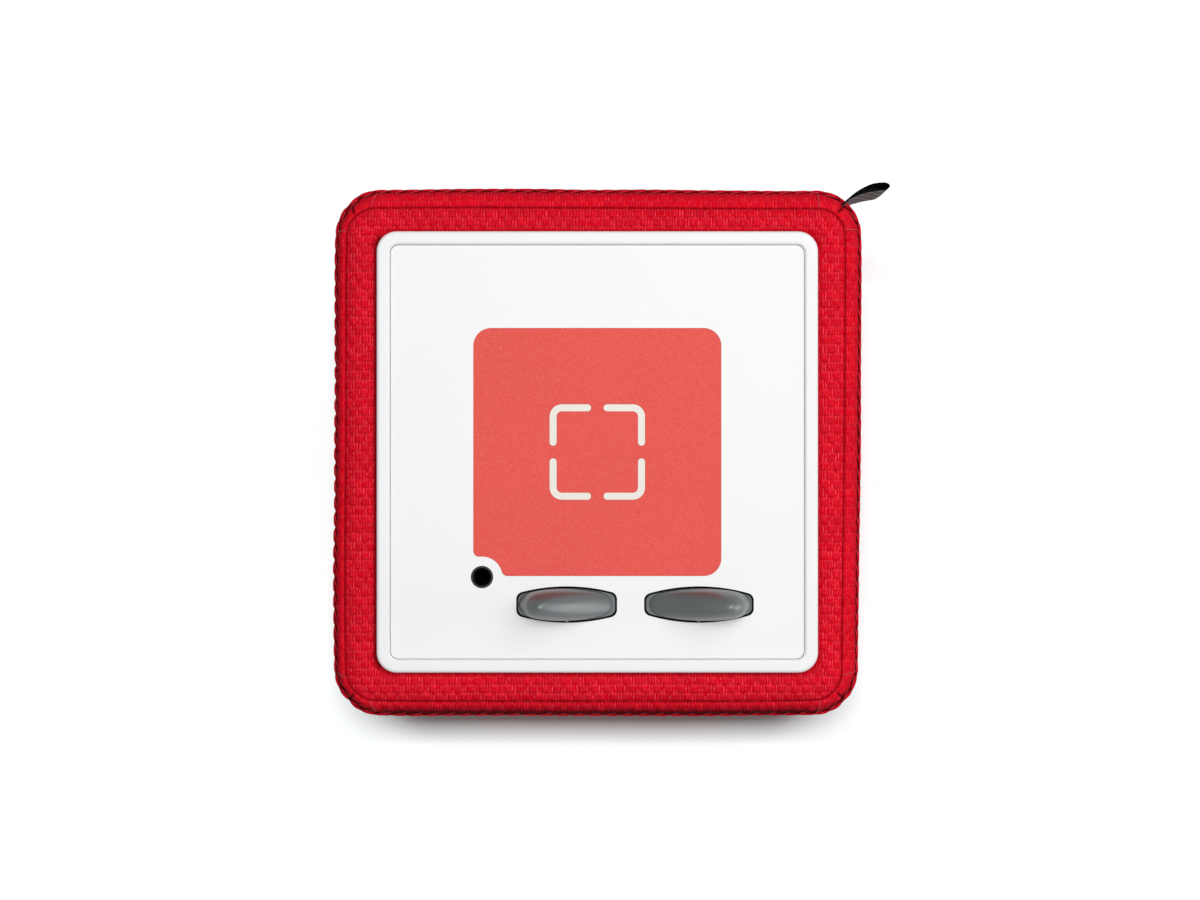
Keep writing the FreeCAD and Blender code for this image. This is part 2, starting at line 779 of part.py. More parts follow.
def lens_disc(lever, gap):
    """Solid of revolution about the lever's pivot with a lens-shaped half section.

    A shape of this kind maps onto itself when the lever rocks, so the gap
    between a lever and its slot stays the same over the whole travel.
    """
    depth = size("pivot_depth")
    side_radius = size("slot_side_radius")
    reach = math.hypot(size(lever["slot_length"]) / 2, depth) - gap
    half_width = size("slot_width") / 2 + depth ** 2 / (2 * side_radius) - gap
    arc_centre = half_width - side_radius

    def side_at(radius):
        return arc_centre + math.sqrt(side_radius ** 2 - radius ** 2)

    corners = [point(0, half_width), point(reach / 2, side_at(reach / 2)), point(reach, side_at(reach))]
    mirrored = [point(corner.x, -corner.y) for corner in reversed(corners)]
    section = Part.Wire([
        Part.Arc(*corners).toShape(),
        Part.makeLine(corners[2], mirrored[0]),
        Part.Arc(*mirrored).toShape(),
        Part.makeLine(mirrored[2], corners[0])])
    disc = Part.Face(section).revolve(FreeCAD.Vector(), FreeCAD.Vector(0, 1, 0), 360)
    rims = [edge for edge in disc.Edges
            if len(edge.Vertexes) == 1 and abs(edge.Vertexes[0].X - reach) < 1e-6]
    disc = disc.makeFillet(size("slot_end_radius"), rims)
    disc.translate(FreeCAD.Vector(size(lever["x"]), size("lever_y"), size(PIVOT_LEVEL)))
    return disc


def fin_section(centre, half_length, half_width, rise, level):
    """Lens outline as one closed curve at a level: blunt ends low down, round ends at the tip."""
    pointedness = 0.4 - 0.3 * rise
    bluntness = 10 - 7.6 * rise
    count = 36
    places = []
    for index in range(count):
        angle = 2 * math.pi * index / count
        along = math.sin(angle)
        end_round = math.sqrt(max(0.0, 1 - abs(along) ** bluntness))
        across = half_width * (1 - pointedness * along ** 2) * end_round
        side = 1 if math.cos(angle) >= 0 else -1
        places.append(centre + FreeCAD.Vector(half_length * along, side * across, level))
    outline = Part.BSplineCurve()
    outline.interpolate(places, PeriodicFlag=True)
    return Part.Wire([outline.toShape()])


def lever_fin(lever):
    """Ear-like fin, round across: a ramp from one end up to a domed tip over the other."""
    height = size("fin_height")
    bury = size("lever_bury")
    base_half = size(lever["slot_length"]) / 2 - size("lever_gap")
    base_width = size("slot_width") / 2 - size("lever_gap")
    tip_half = size("fin_tip_half_length")
    tip_centre = base_half - size("fin_tip_inset") - tip_half
    centre = FreeCAD.Vector(size(lever["x"]), size("lever_y"), size(PANEL_TOP))
    sections = []
    for share in [-bury / height, 0.12, 0.3, 0.5, 0.68, 0.82, 0.92, 0.975, 0.998]:
        rise = max(share, 0.0)
        dome = math.sqrt(1 - max(0.0, (rise - 0.7) / 0.3) ** 2)
        half_length = (base_half + (tip_half - base_half) * rise ** 0.9) * dome
        half_width = base_width * math.sqrt(1 - rise ** 2)
        shift = FreeCAD.Vector(lever["lean"] * tip_centre * rise ** 0.9, 0, 0)
        sections.append(fin_section(centre + shift, half_length, half_width, rise, share * height))
    return Part.makeLoft(sections, True, False)


def lever_shape(lever):
    """Rocker body with its fin, pin bore and two feet over the dome pads."""
    pivot = FreeCAD.Vector(size(lever["x"]), size("lever_y"), size(PIVOT_LEVEL))
    below = size("lever_below_pivot")
    depth = size("pivot_depth")
    reach = size(lever["slot_length"])
    slab = Part.makeBox(2 * reach, 2 * reach, below + depth,
                        pivot - FreeCAD.Vector(reach, reach, below))
    rocker = lens_disc(lever, size("lever_gap")).common(slab)
    foot = size("foot_size")
    foot_under = size(f"{BOARD_TOP} + dome_height + foot_gap")
    foot_top = pivot.z - below / 2
    feet = []
    for side in (-1, 1):
        low_corner = FreeCAD.Vector(
            pivot.x + side * size("foot_reach") - foot / 2, pivot.y - foot / 2, foot_under)
        feet.append(Part.makeBox(foot, foot, foot_top - foot_under, low_corner))
    solid = rocker.fuse([lever_fin(lever)] + feet).removeSplitter()
    bore = Part.makeCylinder(
        size("pin_radius + running_gap"), 2 * reach, pivot - FreeCAD.Vector(0, reach, 0),
        FreeCAD.Vector(0, 1, 0))
    return solid.cut(bore)


slot_tools = []
for name, lever in LEVERS.items():
    node(set_shape(name + "_lever", lever_shape(lever)), name + "_lever")
    slot_tools.append(set_shape(name + "_slot", lens_disc(lever, 0.0)))

CHEEK_INNER = "(slot_width/2 + soft_gap)"
CHEEK_OUTER = f"({CHEEK_INNER} + cheek_thickness)"
for name, lever in LEVERS.items():
    pin = cylinder(name + "_pivot_pin", lever["x"], f"lever_y - {CHEEK_OUTER}", PIVOT_LEVEL,
                   "pin_radius", f"2*{CHEEK_OUTER}", "+Y")
    node(pin, name + "_pivot_pin")

# lever carrier: a plate over the control board with two cheeks at each pin
CARRIER_TOP = f"({BOARD_TOP} + carrier_thickness)"
CARRIER_REACH_Y = "(carrier_screw_y + carrier_margin)"
CARRIER_LEFT = "(carrier_left - carrier_margin)"
CARRIER_RIGHT = "(carrier_right + carrier_margin)"
CARRIER_SCREWS = [
    (x, f"(lever_y + {side}*carrier_screw_y)")
    for x in ("carrier_left", "carrier_right") for side in (-1, 1)]

carrier = new_body("carrier_blank")
profile = sketch(carrier, BOARD_TOP)
polygon(profile, [
    (CARRIER_LEFT, f"lever_y - {CARRIER_REACH_Y}"), (CARRIER_RIGHT, f"lever_y - {CARRIER_REACH_Y}"),
    (CARRIER_RIGHT, f"lever_y + {CARRIER_REACH_Y}"), (CARRIER_LEFT, f"lever_y + {CARRIER_REACH_Y}")])
for x, y in CARRIER_SCREWS:
    circle(profile, x, y, CLEAR_HOLE)
for lever in LEVERS.values():
    for side in (-1, 1):
        circle(profile, f"{lever['x']} + {side}*foot_reach", "lever_y", "(dome_radius + soft_gap)")
pad(carrier, profile, "carrier_thickness")
cheeks = sketch(carrier, CARRIER_TOP)
for lever in LEVERS.values():
    for side in (-1, 1):
        rectangle(cheeks, lever["x"], f"(lever_y + {side}*({CHEEK_INNER} + cheek_thickness/2))",
                  "cheek_width/2", "cheek_thickness/2")
pad(carrier, cheeks, f"{PANEL_UNDER} - soft_gap - {CARRIER_TOP}")
pin_bores = [
    cylinder(name + "_pin_bore", lever["x"], f"lever_y - 2*{CHEEK_OUTER}", PIVOT_LEVEL,
             "pin_radius", f"4*{CHEEK_OUTER}", "+Y")
    for name, lever in LEVERS.items()]
node(cut("lever_carrier", carrier, pin_bores), "lever_carrier")

# silicone domes under the feet of each lever
for name, lever in LEVERS.items():
    domes = [
        cone(f"{name}_dome_{side}", f"{lever['x']} + ({side})*foot_reach", "lever_y", BOARD_TOP,
             "dome_radius", "foot_size/2", "dome_height")
        for side in (-1, 1)]
    node(group(name + "_dome_pads", domes), name + "_dome_pads")

# ------------------------------------------------------------ control board
control_board = new_body("control_board")
profile = sketch(control_board, BOARD_UNDER)
BOARD_LEFT = "(jack_x - socket_width)"
BOARD_BACK = "(jack_y + socket_width/2 + carrier_margin/2)"
polygon(profile, [
    (BOARD_LEFT, f"lever_y - {CARRIER_REACH_Y}"), (CARRIER_RIGHT, f"lever_y - {CARRIER_REACH_Y}"),
    (CARRIER_RIGHT, BOARD_BACK), (BOARD_LEFT, BOARD_BACK)])
for x, y in CARRIER_SCREWS:
    circle(profile, x, y, CLEAR_HOLE)
pad(control_board, profile, "board_thickness")
node(control_board, "control_board")
control_screws = [
    screw(f"control_screw_{index}", x, y, f"{BOARD_UNDER} - screw_head_height",
          "control_screw_length", "+Z")
    for index, (x, y) in enumerate(CARRIER_SCREWS)]
node(group("control_screws", control_screws), "control_screws")

# -------------------------------------------------------- headphone socket
COLLAR_UNDER = f"({PANEL_UNDER} - collar_flange_height)"
collar = new_body("socket_collar")
profile = sketch(collar, COLLAR_UNDER)
circle(profile, "jack_x", "jack_y", "collar_flange")
circle(profile, "jack_x", "jack_y", "jack_bore_radius")
pad(collar, profile, "collar_flange_height")
profile = sketch(collar, PANEL_UNDER)
circle(profile, "jack_x", "jack_y", "collar_radius")
circle(profile, "jack_x", "jack_y", "jack_bore_radius")
pad(collar, profile, "panel_thickness")
mouth = edges_where(
    collar.Shape, lambda bounds: abs(bounds.ZMin - size(PANEL_TOP)) < 1e-6
    and abs(bounds.XLength - 2 * size("jack_bore_radius")) < 1e-6)
chamfer(collar, mouth, "collar_bevel")
node(collar, "socket_collar")

socket = new_body("headphone_socket")
profile = sketch(socket, SOCKET_UNDER)
rectangle(profile, "jack_x", "jack_y", "socket_width/2", "socket_width/2")
pad(socket, profile, f"{COLLAR_UNDER} - {SOCKET_UNDER}")
profile = sketch(socket, f"{SOCKET_UNDER} + jack_floor")
circle(profile, "jack_x", "jack_y", "jack_bore_radius")
pocket(socket, profile, "jack_depth")
node(socket, "headphone_socket")

# -------------------------------------------------------- dock tag reader
READER_TOP = f"({PANEL_UNDER} - reader_drop)"
READER_UNDER = f"({READER_TOP} - reader_board)"
RIB_INNER = "(magnet_radius + running_gap)"
RIB_OUTER = f"({RIB_INNER} + magnet_rib)"
STUD_PLACE = "(reader_width/2 - 2*stud_radius)"
READER_HALF = "(reader_width/2)"

reader = new_body("nfc_board")
profile = sketch(reader, READER_UNDER)
rounded_rectangle(profile, "0", "0", READER_HALF, READER_HALF, "stud_radius")
circle(profile, "0", "0", f"({RIB_OUTER} + soft_gap)")
for side_x, side_y in QUARTERS:
    circle(profile, f"{side_x}*{STUD_PLACE}", f"{side_y}*{STUD_PLACE}", "(stud_radius/2 + fit_gap)")
pad(reader, profile, "reader_board")
node(reader, "nfc_board")

coil = new_body("nfc_coil")
profile = sketch(coil, READER_TOP)
turns = round(size("coil_turns"))
for turn in range(turns):
    outer = f"(coil_width/2 - {2 * turn}*coil_track)"
    inner = f"(coil_width/2 - {2 * turn + 1}*coil_track)"
    rounded_rectangle(profile, "0", "0", outer, outer, "2*coil_track")
    rounded_rectangle(profile, "0", "0", inner, inner, "coil_track")
coil.AllowCompound = True
pad(coil, profile, "coil_copper")
node(coil, "nfc_coil")

magnet = cylinder("dock_magnet", "0", "0", f"{PANEL_UNDER} - magnet_height",
                  "magnet_radius", "magnet_height")
node(magnet, "dock_magnet")

# --------------------------------------------------------------- top panel
panel = new_body("panel_blank")
profile = sketch(panel, PANEL_UNDER)
PANEL_HALF = f"({PANEL_OPENING} - panel_gap)"
rounded_rectangle(profile, "0", "0", PANEL_HALF, PANEL_HALF, "panel_corner_radius")
pad(panel, profile, "panel_thickness")
panel_rim = edges_where(
    panel.Shape, lambda bounds: bounds.ZLength < 1e-6 and abs(bounds.ZMax - size(PANEL_TOP)) < 1e-6)
fillet(panel, panel_rim, "panel_round")
jack_hole = sketch(panel, f"{PANEL_UNDER} - panel_thickness")
circle(jack_hole, "jack_x", "jack_y", "(collar_radius + running_gap)")
pocket(panel, jack_hole, "3*panel_thickness")
rib = sketch(panel, f"{PANEL_UNDER} - magnet_height")
circle(rib, "0", "0", RIB_OUTER)
circle(rib, "0", "0", RIB_INNER)
pad(panel, rib, "magnet_height")
studs = sketch(panel, READER_TOP)
for side_x, side_y in QUARTERS:
    circle(studs, f"{side_x}*{STUD_PLACE}", f"{side_y}*{STUD_PLACE}", "stud_radius")
pad(panel, studs, "reader_drop")
stakes = sketch(panel, f"{READER_UNDER} - reader_board/2")
for side_x, side_y in QUARTERS:
    circle(stakes, f"{side_x}*{STUD_PLACE}", f"{side_y}*{STUD_PLACE}", "stud_radius/2")
pad(panel, stakes, f"{READER_TOP} - {READER_UNDER} + reader_board/2")
bosses = sketch(panel, CARRIER_TOP)
for x, y in CARRIER_SCREWS:
    circle(bosses, x, y, "panel_boss_radius")
    circle(bosses, x, y, PILOT_HOLE)
pad(panel, bosses, f"{PANEL_UNDER} - {CARRIER_TOP}")
clip = sketch(panel, "-clip_width/2", "YZ_Plane")
polygon(clip, [
    (f"{CLIP_OUTER} - clip_wall", CLIP_UNDER), (f"{CLIP_OUTER}", CLIP_UNDER),
    (f"{CLIP_OUTER} + clip_nib", f"{CLIP_UNDER} + clip_nib"),
    (f"{CLIP_OUTER} + clip_nib", f"{CLIP_UNDER} + {NIB_HEIGHT}"),
    (CLIP_OUTER, f"{CLIP_UNDER} + {NIB_HEIGHT}"), (CLIP_OUTER, PANEL_UNDER),
    (f"{CLIP_OUTER} - clip_wall", PANEL_UNDER)])
clip_leg = pad(panel, clip, "clip_width")
four_times(panel, [clip_leg])
dock_recess = dock_blank("dock_recess", "inlay_gap")
node(cut("top_panel", panel, [dock_recess] + slot_tools), "top_panel")

# ---------------------------------------------------------------- core box
core = new_body("core_blank")
profile = sketch(core, CORE_UNDER)
rounded_rectangle(profile, "0", "0", CORE_HALF, CORE_HALF, "core_corner_radius")
pad(core, profile, f"{CORE_TOP} - {CORE_UNDER}")
hollow = sketch(core, FLOOR_TOP)
rounded_rectangle(hollow, "0", "0", CORE_INNER, CORE_INNER, "panel_corner_radius")
pocket(core, hollow, f"{CORE_TOP}")
corner_squares(core, FLOOR_TOP, "(pillar_place - pillar_wall)", f"({CORE_INNER} + core_wall/2)",
               f"{SPIGOT_UNDER} - {FLOOR_TOP}")
corner_holes(core, f"{SPIGOT_UNDER} - deck_screw_length - screw_radius", "pillar_place",
             PILOT_HOLE, "2*deck_screw_length")
floor_bosses = sketch(core, FLOOR_TOP)
for side_x, side_y in QUARTERS:
    circle(floor_bosses, f"{side_x}*base_screw_place", f"{side_y}*base_screw_place", "boss_radius")
pad(core, floor_bosses, "boss_height")
BOARD_POSTS = [
    (f"{side_x}*post_x", f"(main_board_y + {side_y}*post_y)") for side_x, side_y in QUARTERS]
posts = sketch(core, FLOOR_TOP)
for x, y in BOARD_POSTS:
    circle(posts, x, y, "post_radius")
pad(core, posts, f"main_board_level - {FLOOR_TOP}")
corner_holes(core, f"{CORE_UNDER} - core_floor", "base_screw_place", PILOT_HOLE,
             "core_floor + base_screw_length + screw_radius")
post_holes = sketch(core, "main_board_level - post_screw_length - screw_radius")
for x, y in BOARD_POSTS:
    circle(post_holes, x, y, PILOT_HOLE)
pocket(core, post_holes, "2*post_screw_length")
SPEAKER_SCREW_STEP = "(speaker_screw_circle*0.70710678)"
speaker_hole = sketch(core, f"{CORE_INNER} - core_wall", "XZ_Plane")
circle(speaker_hole, "0", "speaker_level", "speaker_hole_radius")
for side_x, side_y in QUARTERS:
    circle(speaker_hole, f"{side_x}*{SPEAKER_SCREW_STEP}",
           f"(speaker_level + {side_y}*{SPEAKER_SCREW_STEP})", PILOT_HOLE)
pocket(core, speaker_hole, "3*core_wall")
skirt_seat = sketch(core, f"-{CORE_HALF} - core_wall", "XZ_Plane")
rounded_rectangle(skirt_seat, "0", "service_level", f"({SERVICE_HALF_X} + running_gap)",
                  f"({SERVICE_HALF_Z} + running_gap)", "service_radius")
pocket(core, skirt_seat, f"core_wall - {SKIRT_END}")
lead_window = sketch(core, f"-{CORE_HALF} - core_wall", "XZ_Plane")
rectangle(lead_window, "0", "service_level", "service_width/4", "service_height/5")
pocket(core, lead_window, "3*core_wall")
node(core, "core_body")
deck_screws = [
    screw(f"deck_screw_{index}", f"{side_x}*pillar_place", f"{side_y}*pillar_place",
          f"{SPIGOT_UNDER} + tab_thickness + screw_head_height",
          "deck_screw_length + tab_thickness/2", "-Z")
    for index, (side_x, side_y) in enumerate(QUARTERS)]
node(group("deck_screws", deck_screws), "deck_screws")

# --------------------------------------------------- base plate and feet
BASE_HALF = "(base_width/2)"
PLUG_HALF = f"({FLOOR_OPENING} - soft_gap)"
FOOT_OUTER = "(foot_ring_width/2)"
FOOT_INNER = f"({FOOT_OUTER} - foot_ring_band)"
base = new_body("base_plate")
profile = sketch(base, BASE_UNDER)
rounded_rectangle(profile, "0", "0", BASE_HALF, BASE_HALF, "foot_corner_radius")
pad(base, profile, f"{BASE_FLANGE_TOP} - {BASE_UNDER}")
plug = sketch(base, BASE_FLANGE_TOP)
rectangle(plug, "0", "0", PLUG_HALF, PLUG_HALF)
pad(base, plug, f"{CORE_UNDER} - {BASE_FLANGE_TOP}")
groove = sketch(base, f"{BASE_UNDER} - foot_ring_depth")
rounded_rectangle(groove, "0", "0", f"({FOOT_OUTER} + fit_gap)", f"({FOOT_OUTER} + fit_gap)",
                  "(foot_corner_radius + fit_gap)")
rounded_rectangle(groove, "0", "0", f"({FOOT_INNER} - fit_gap)", f"({FOOT_INNER} - fit_gap)",
                  "(foot_corner_radius/2)")
pocket(base, groove, "2*foot_ring_depth")
corner_holes(base, f"{BASE_UNDER} - screw_head_height", "base_screw_place",
             "(screw_head_radius + soft_gap)", "2*screw_head_height + running_gap")
corner_holes(base, BASE_UNDER, "base_screw_place", CLEAR_HOLE, CORE_UNDER)
node(base, "base_plate")

foot_ring = new_body("foot_ring")
profile = sketch(foot_ring, "0")
rounded_rectangle(profile, "0", "0", FOOT_OUTER, FOOT_OUTER, "foot_corner_radius")
rounded_rectangle(profile, "0", "0", FOOT_INNER, FOOT_INNER, "(foot_corner_radius/2 + fit_gap)")
pad(foot_ring, profile, "foot_standoff + foot_ring_depth")
node(foot_ring, "foot_ring")

base_screws = [
    screw(f"base_screw_{index}", f"{side_x}*base_screw_place", f"{side_y}*base_screw_place",
          f"{BASE_UNDER} + running_gap", "base_screw_length", "+Z")
    for index, (side_x, side_y) in enumerate(QUARTERS)]
node(group("base_screws", base_screws), "base_screws")

# ----------------------------------------------------------------- speaker
# Local frame: +Z points out of the front wall, 0 is the wall's inner face.
FLANGE_BACK = "(-gasket_thickness - speaker_flange)"
BASKET_BACK = f"({FLANGE_BACK} - basket_depth)"
CAN_BACK = f"({BASKET_BACK} - magnet_can_height)"
CONE_NECK = "(-cone_setback - cone_depth)"
SURROUND_INNER = "(cone_radius + soft_gap)"


def face_front(item):
    """Turns a local +Z to the front and sets it on the front wall."""
    item.Placement = FreeCAD.Placement(FreeCAD.Vector(), AXIS_TURNS["-Y"])
    place(item, "0", f"-{CORE_INNER}", "speaker_level")
    return item


def turned(name, corners):
    """Round piece of the speaker from its half section in radius and depth."""
    body = new_body(name)
    profile = sketch(body, "0", "XZ_Plane")
    polygon(profile, corners)
    revolve(body, profile)
    return body


def drill_flange(body, level, depth):
    holes = sketch(body, level)
    for side_x, side_y in QUARTERS:
        circle(holes, f"{side_x}*{SPEAKER_SCREW_STEP}", f"{side_y}*{SPEAKER_SCREW_STEP}", CLEAR_HOLE)
    pocket(body, holes, depth)


gasket = turned("speaker_gasket", [
    ("speaker_hole_radius", "-gasket_thickness"), ("speaker_radius", "-gasket_thickness"),
    ("speaker_radius", "0"), ("speaker_hole_radius", "0")])
drill_flange(gasket, "-2*gasket_thickness", "3*gasket_thickness")
node(face_front(gasket), "speaker_gasket")

BASKET_LIP = "(surround_radius + soft_gap)"
basket = turned("speaker_basket", [
    (BASKET_LIP, "-gasket_thickness"), (BASKET_LIP, f"({FLANGE_BACK} - basket_wall)"),
    ("basket_back_radius", f"({BASKET_BACK} + basket_wall)"),
    ("coil_slot_radius", f"({BASKET_BACK} + basket_wall)"), ("coil_slot_radius", BASKET_BACK),
    ("(basket_back_radius + basket_wall)", BASKET_BACK),
    (f"({BASKET_LIP} + basket_wall)", FLANGE_BACK), ("speaker_radius", FLANGE_BACK),
    ("speaker_radius", "-gasket_thickness")])
drill_flange(basket, f"{FLANGE_BACK} - speaker_flange", "3*speaker_flange")
node(face_front(basket), "speaker_basket")

magnet_can = turned("speaker_magnet", [
    ("0", CAN_BACK), ("magnet_can_radius", CAN_BACK), ("magnet_can_radius", BASKET_BACK),
    ("coil_slot_radius", BASKET_BACK), ("coil_slot_radius", f"({CAN_BACK} + magnet_can_height/3)"),
    ("pole_radius", f"({CAN_BACK} + magnet_can_height/3)"),
    ("pole_radius", f"({BASKET_BACK} + basket_wall)"), ("0", f"({BASKET_BACK} + basket_wall)")])
node(face_front(magnet_can), "speaker_magnet")

FORMER_OUTER = "(cone_neck_radius + cone_wall)"
speaker_cone = turned("speaker_cone", [
    ("0", f"({CONE_NECK} + cone_wall)"), ("cone_neck_radius", f"({CONE_NECK} + cone_wall)"),
    ("cone_radius", "-cone_setback"), ("cone_radius", "(-cone_setback - 1.3*cone_wall)"),
    (FORMER_OUTER, f"({CONE_NECK} - cone_wall/2)"),
    (FORMER_OUTER, f"({CONE_NECK} - coil_former_length)"),
    ("cone_neck_radius", f"({CONE_NECK} - coil_former_length)"),
    ("cone_neck_radius", CONE_NECK), ("0", CONE_NECK)])
node(face_front(speaker_cone), "speaker_cone")

surround = turned("speaker_surround", [
    (SURROUND_INNER, "(-cone_setback - cone_wall)"), ("surround_radius", "(-cone_setback - cone_wall)"),
    ("surround_radius", "-cone_setback"),
    (f"(({SURROUND_INNER} + surround_radius)/2)", "(-cone_setback + surround_height)"),
    (SURROUND_INNER, "-cone_setback")])
node(face_front(surround), "speaker_surround")

grille = new_body("speaker_grille")
profile = sketch(grille, "core_wall")
circle(profile, "0", "0", "grille_radius")
pad(grille, profile, "grille_thickness")
holes = sketch(grille, "core_wall - grille_thickness")
circle(holes, "0", "0", "grille_hole_radius")
for ring in (1, 2, 3):
    for step in range(6 * ring):
        angle = 60.0 * step / ring
        circle(holes, f"{ring}*grille_pitch*cos({angle:.0f} deg)",
               f"{ring}*grille_pitch*sin({angle:.0f} deg)", "grille_hole_radius")
pocket(grille, holes, "3*grille_thickness")
node(face_front(grille), "speaker_grille")

speaker_screws = [
    screw(f"speaker_screw_{index}", f"{side_x}*{SPEAKER_SCREW_STEP}",
          f"-{CORE_INNER} - {FLANGE_BACK} + screw_head_height",
          f"speaker_level + {side_y}*{SPEAKER_SCREW_STEP}",
          "core_wall + gasket_thickness", "-Y")
    for index, (side_x, side_y) in enumerate(QUARTERS)]
node(group("speaker_screws", speaker_screws), "speaker_screws")

# ------------------------------------------------------ rear service plate
# Local frame: +Z points out of the back, 0 is the core's outer face, +X is to
# the right of a person who looks at the back. The plate's skirt stands in a
# seat in the core's wall and holds the board at its depth behind the face.
BACK_TURN = FreeCAD.Rotation(FreeCAD.Vector(0, 1, 1), 180)
POCKET_HALF_X = f"({SERVICE_HALF_X} - service_wall)"
POCKET_HALF_Z = f"({SERVICE_HALF_Z} - service_wall)"


def face_back(item):
    item.Placement = FreeCAD.Placement(FreeCAD.Vector(), BACK_TURN)
    place(item, "0", CORE_HALF, "service_level")
    return item


def pill(profile, x, half_x, half_y):
    """Slot outline with half-round ends."""
    rounded_rectangle(profile, x, "0", half_x, half_y, f"({half_y} - running_gap)")


rear = new_body("rear_plate")
profile = sketch(rear, SKIRT_END)
rounded_rectangle(profile, "0", "0", SERVICE_HALF_X, SERVICE_HALF_Z, "service_radius")
pad(rear, profile, f"{SERVICE_OUT} - {SKIRT_END}")
flange = sketch(rear, f"{SERVICE_OUT} - service_flange_thickness")
rounded_rectangle(flange, "0", "0", f"({SERVICE_HALF_X} + service_flange)",
                  f"({SERVICE_HALF_Z} + service_flange)", "(service_radius + service_flange)")
pad(rear, flange, "service_flange_thickness")
front_recess = sketch(rear, FACE_OUTER)
rounded_rectangle(front_recess, "0", "0", POCKET_HALF_X, POCKET_HALF_Z, "(service_radius - service_wall)")
pocket(rear, front_recess, "2*service_recess")
rear_hollow = sketch(rear, f"{SKIRT_END} - service_wall")
rounded_rectangle(rear_hollow, "0", "0", POCKET_HALF_X, POCKET_HALF_Z, "(service_radius - service_wall)")
pocket(rear, rear_hollow, f"{FACE_INNER} - {SKIRT_END} + service_wall")
ports = sketch(rear, f"{FACE_INNER} - service_face")
circle(ports, "button_x", "0", "(button_radius + fit_gap)")
circle(ports, "0", "0", "(pipe_radius + running_gap)")
pill(ports, "usb_x", "(usb_width/2 + fit_gap)", "(usb_height/2 + fit_gap)")
pocket(rear, ports, "3*service_face")
outer_edges = edges_where(
    rear.Shape, lambda bounds: bounds.ZLength < 1e-6
    and abs(bounds.ZMax - size(SERVICE_OUT)) < 1e-6
    and (bounds.Center.x ** 2 > size(SERVICE_HALF_X) ** 2 or bounds.Center.y ** 2 > size(SERVICE_HALF_Z) ** 2))
fillet(rear, outer_edges, "rim_round")
node(face_back(rear), "rear_plate")

io_board = new_body("io_board")
profile = sketch(io_board, IO_UNDER)
rounded_rectangle(profile, "0", "0", f"({POCKET_HALF_X} - running_gap)",
                  f"({POCKET_HALF_Z} - running_gap)", "(service_radius - service_wall)")
pad(io_board, profile, "board_thickness")
node(face_back(io_board), "io_board")

usb = new_body("usb_socket")
profile = sketch(usb, IO_TOP)
pill(profile, "usb_x", "(usb_width/2)", "(usb_height/2)")
pad(usb, profile, "usb_depth")
cavity = sketch(usb, f"{IO_TOP} + 2*usb_shell")
pill(cavity, "usb_x", "(usb_width/2 - usb_shell)", "(usb_height/2 - usb_shell)")
rectangle(cavity, "usb_x", "0", "(usb_width/3)", "usb_shell")
pocket(usb, cavity, "usb_depth")
node(face_back(usb), "usb_socket")

BUTTON_UNDER = f"({FACE_INNER} - fit_gap - button_flange)"
PLUNGER_TOP = f"({IO_TOP} + switch_height + button_travel + soft_gap)"
switch_body = new_body("power_switch")
profile = sketch(switch_body, IO_TOP)
rectangle(profile, "button_x", "0", "(switch_width/2)", "(switch_width/2)")
pad(switch_body, profile, "switch_height")
well = sketch(switch_body, f"{PLUNGER_TOP} - plunger_length - button_travel - soft_gap")
circle(well, "button_x", "0", "(plunger_radius + running_gap)")
pocket(switch_body, well, "switch_height")
node(face_back(switch_body), "power_switch")

plunger = new_body("switch_plunger")
profile = sketch(plunger, f"{PLUNGER_TOP} - plunger_length")
circle(profile, "button_x", "0", "plunger_radius")
pad(plunger, profile, "plunger_length")
node(face_back(plunger), "switch_plunger")

button = new_body("power_button")
profile = sketch(button, BUTTON_UNDER)
circle(profile, "button_x", "0", "(button_radius + button_flange)")
pad(button, profile, "button_flange")
cap = sketch(button, f"{BUTTON_UNDER} + button_flange")
circle(cap, "button_x", "0", "button_radius")
pad(button, cap, f"{FACE_OUTER} + button_proud - {BUTTON_UNDER} - button_flange")
stem = sketch(button, f"{PLUNGER_TOP} + foot_gap")
circle(stem, "button_x", "0", "plunger_radius")
pad(button, stem, f"{BUTTON_UNDER} - {PLUNGER_TOP} - foot_gap")
cap_edge = edges_where(
    button.Shape, lambda bounds: bounds.ZLength < 1e-6
    and abs(bounds.ZMax - size(f"{FACE_OUTER} + button_proud")) < 1e-6)
fillet(button, cap_edge, "button_proud/2")
node(face_back(button), "power_button")

light_pipe = new_body("status_light_pipe")
profile = sketch(light_pipe, IO_TOP)
circle(profile, "0", "0", "pipe_radius")
pad(light_pipe, profile, f"{FACE_OUTER} - {IO_TOP}")
node(face_back(light_pipe), "status_light_pipe")

# -------------------------------------------------------------- main board
BOARD_FACE = "(main_board_level + board_thickness)"
main_board = new_body("main_board")
profile = sketch(main_board, "main_board_level")
rectangle(profile, "0", "main_board_y", "(main_board_width/2)", "(main_board_depth/2)")
for x, y in BOARD_POSTS:
    circle(profile, x, y, CLEAR_HOLE)
pad(main_board, profile, "board_thickness")
node(main_board, "main_board")
board_screws = [
    screw(f"board_screw_{index}", x, y, f"{BOARD_FACE} + screw_head_height",
          "post_screw_length + board_thickness/2", "-Z")
    for index, (x, y) in enumerate(BOARD_POSTS)]
node(group("board_screws", board_screws), "board_screws")


def on_board(name, x, y, half_x, half_y, height):
    """Component that sits on the main board."""
    return box(name, f"{x} - {half_x}", f"{y} - {half_y}", BOARD_FACE,
               f"2*{half_x}", f"2*{half_y}", height)


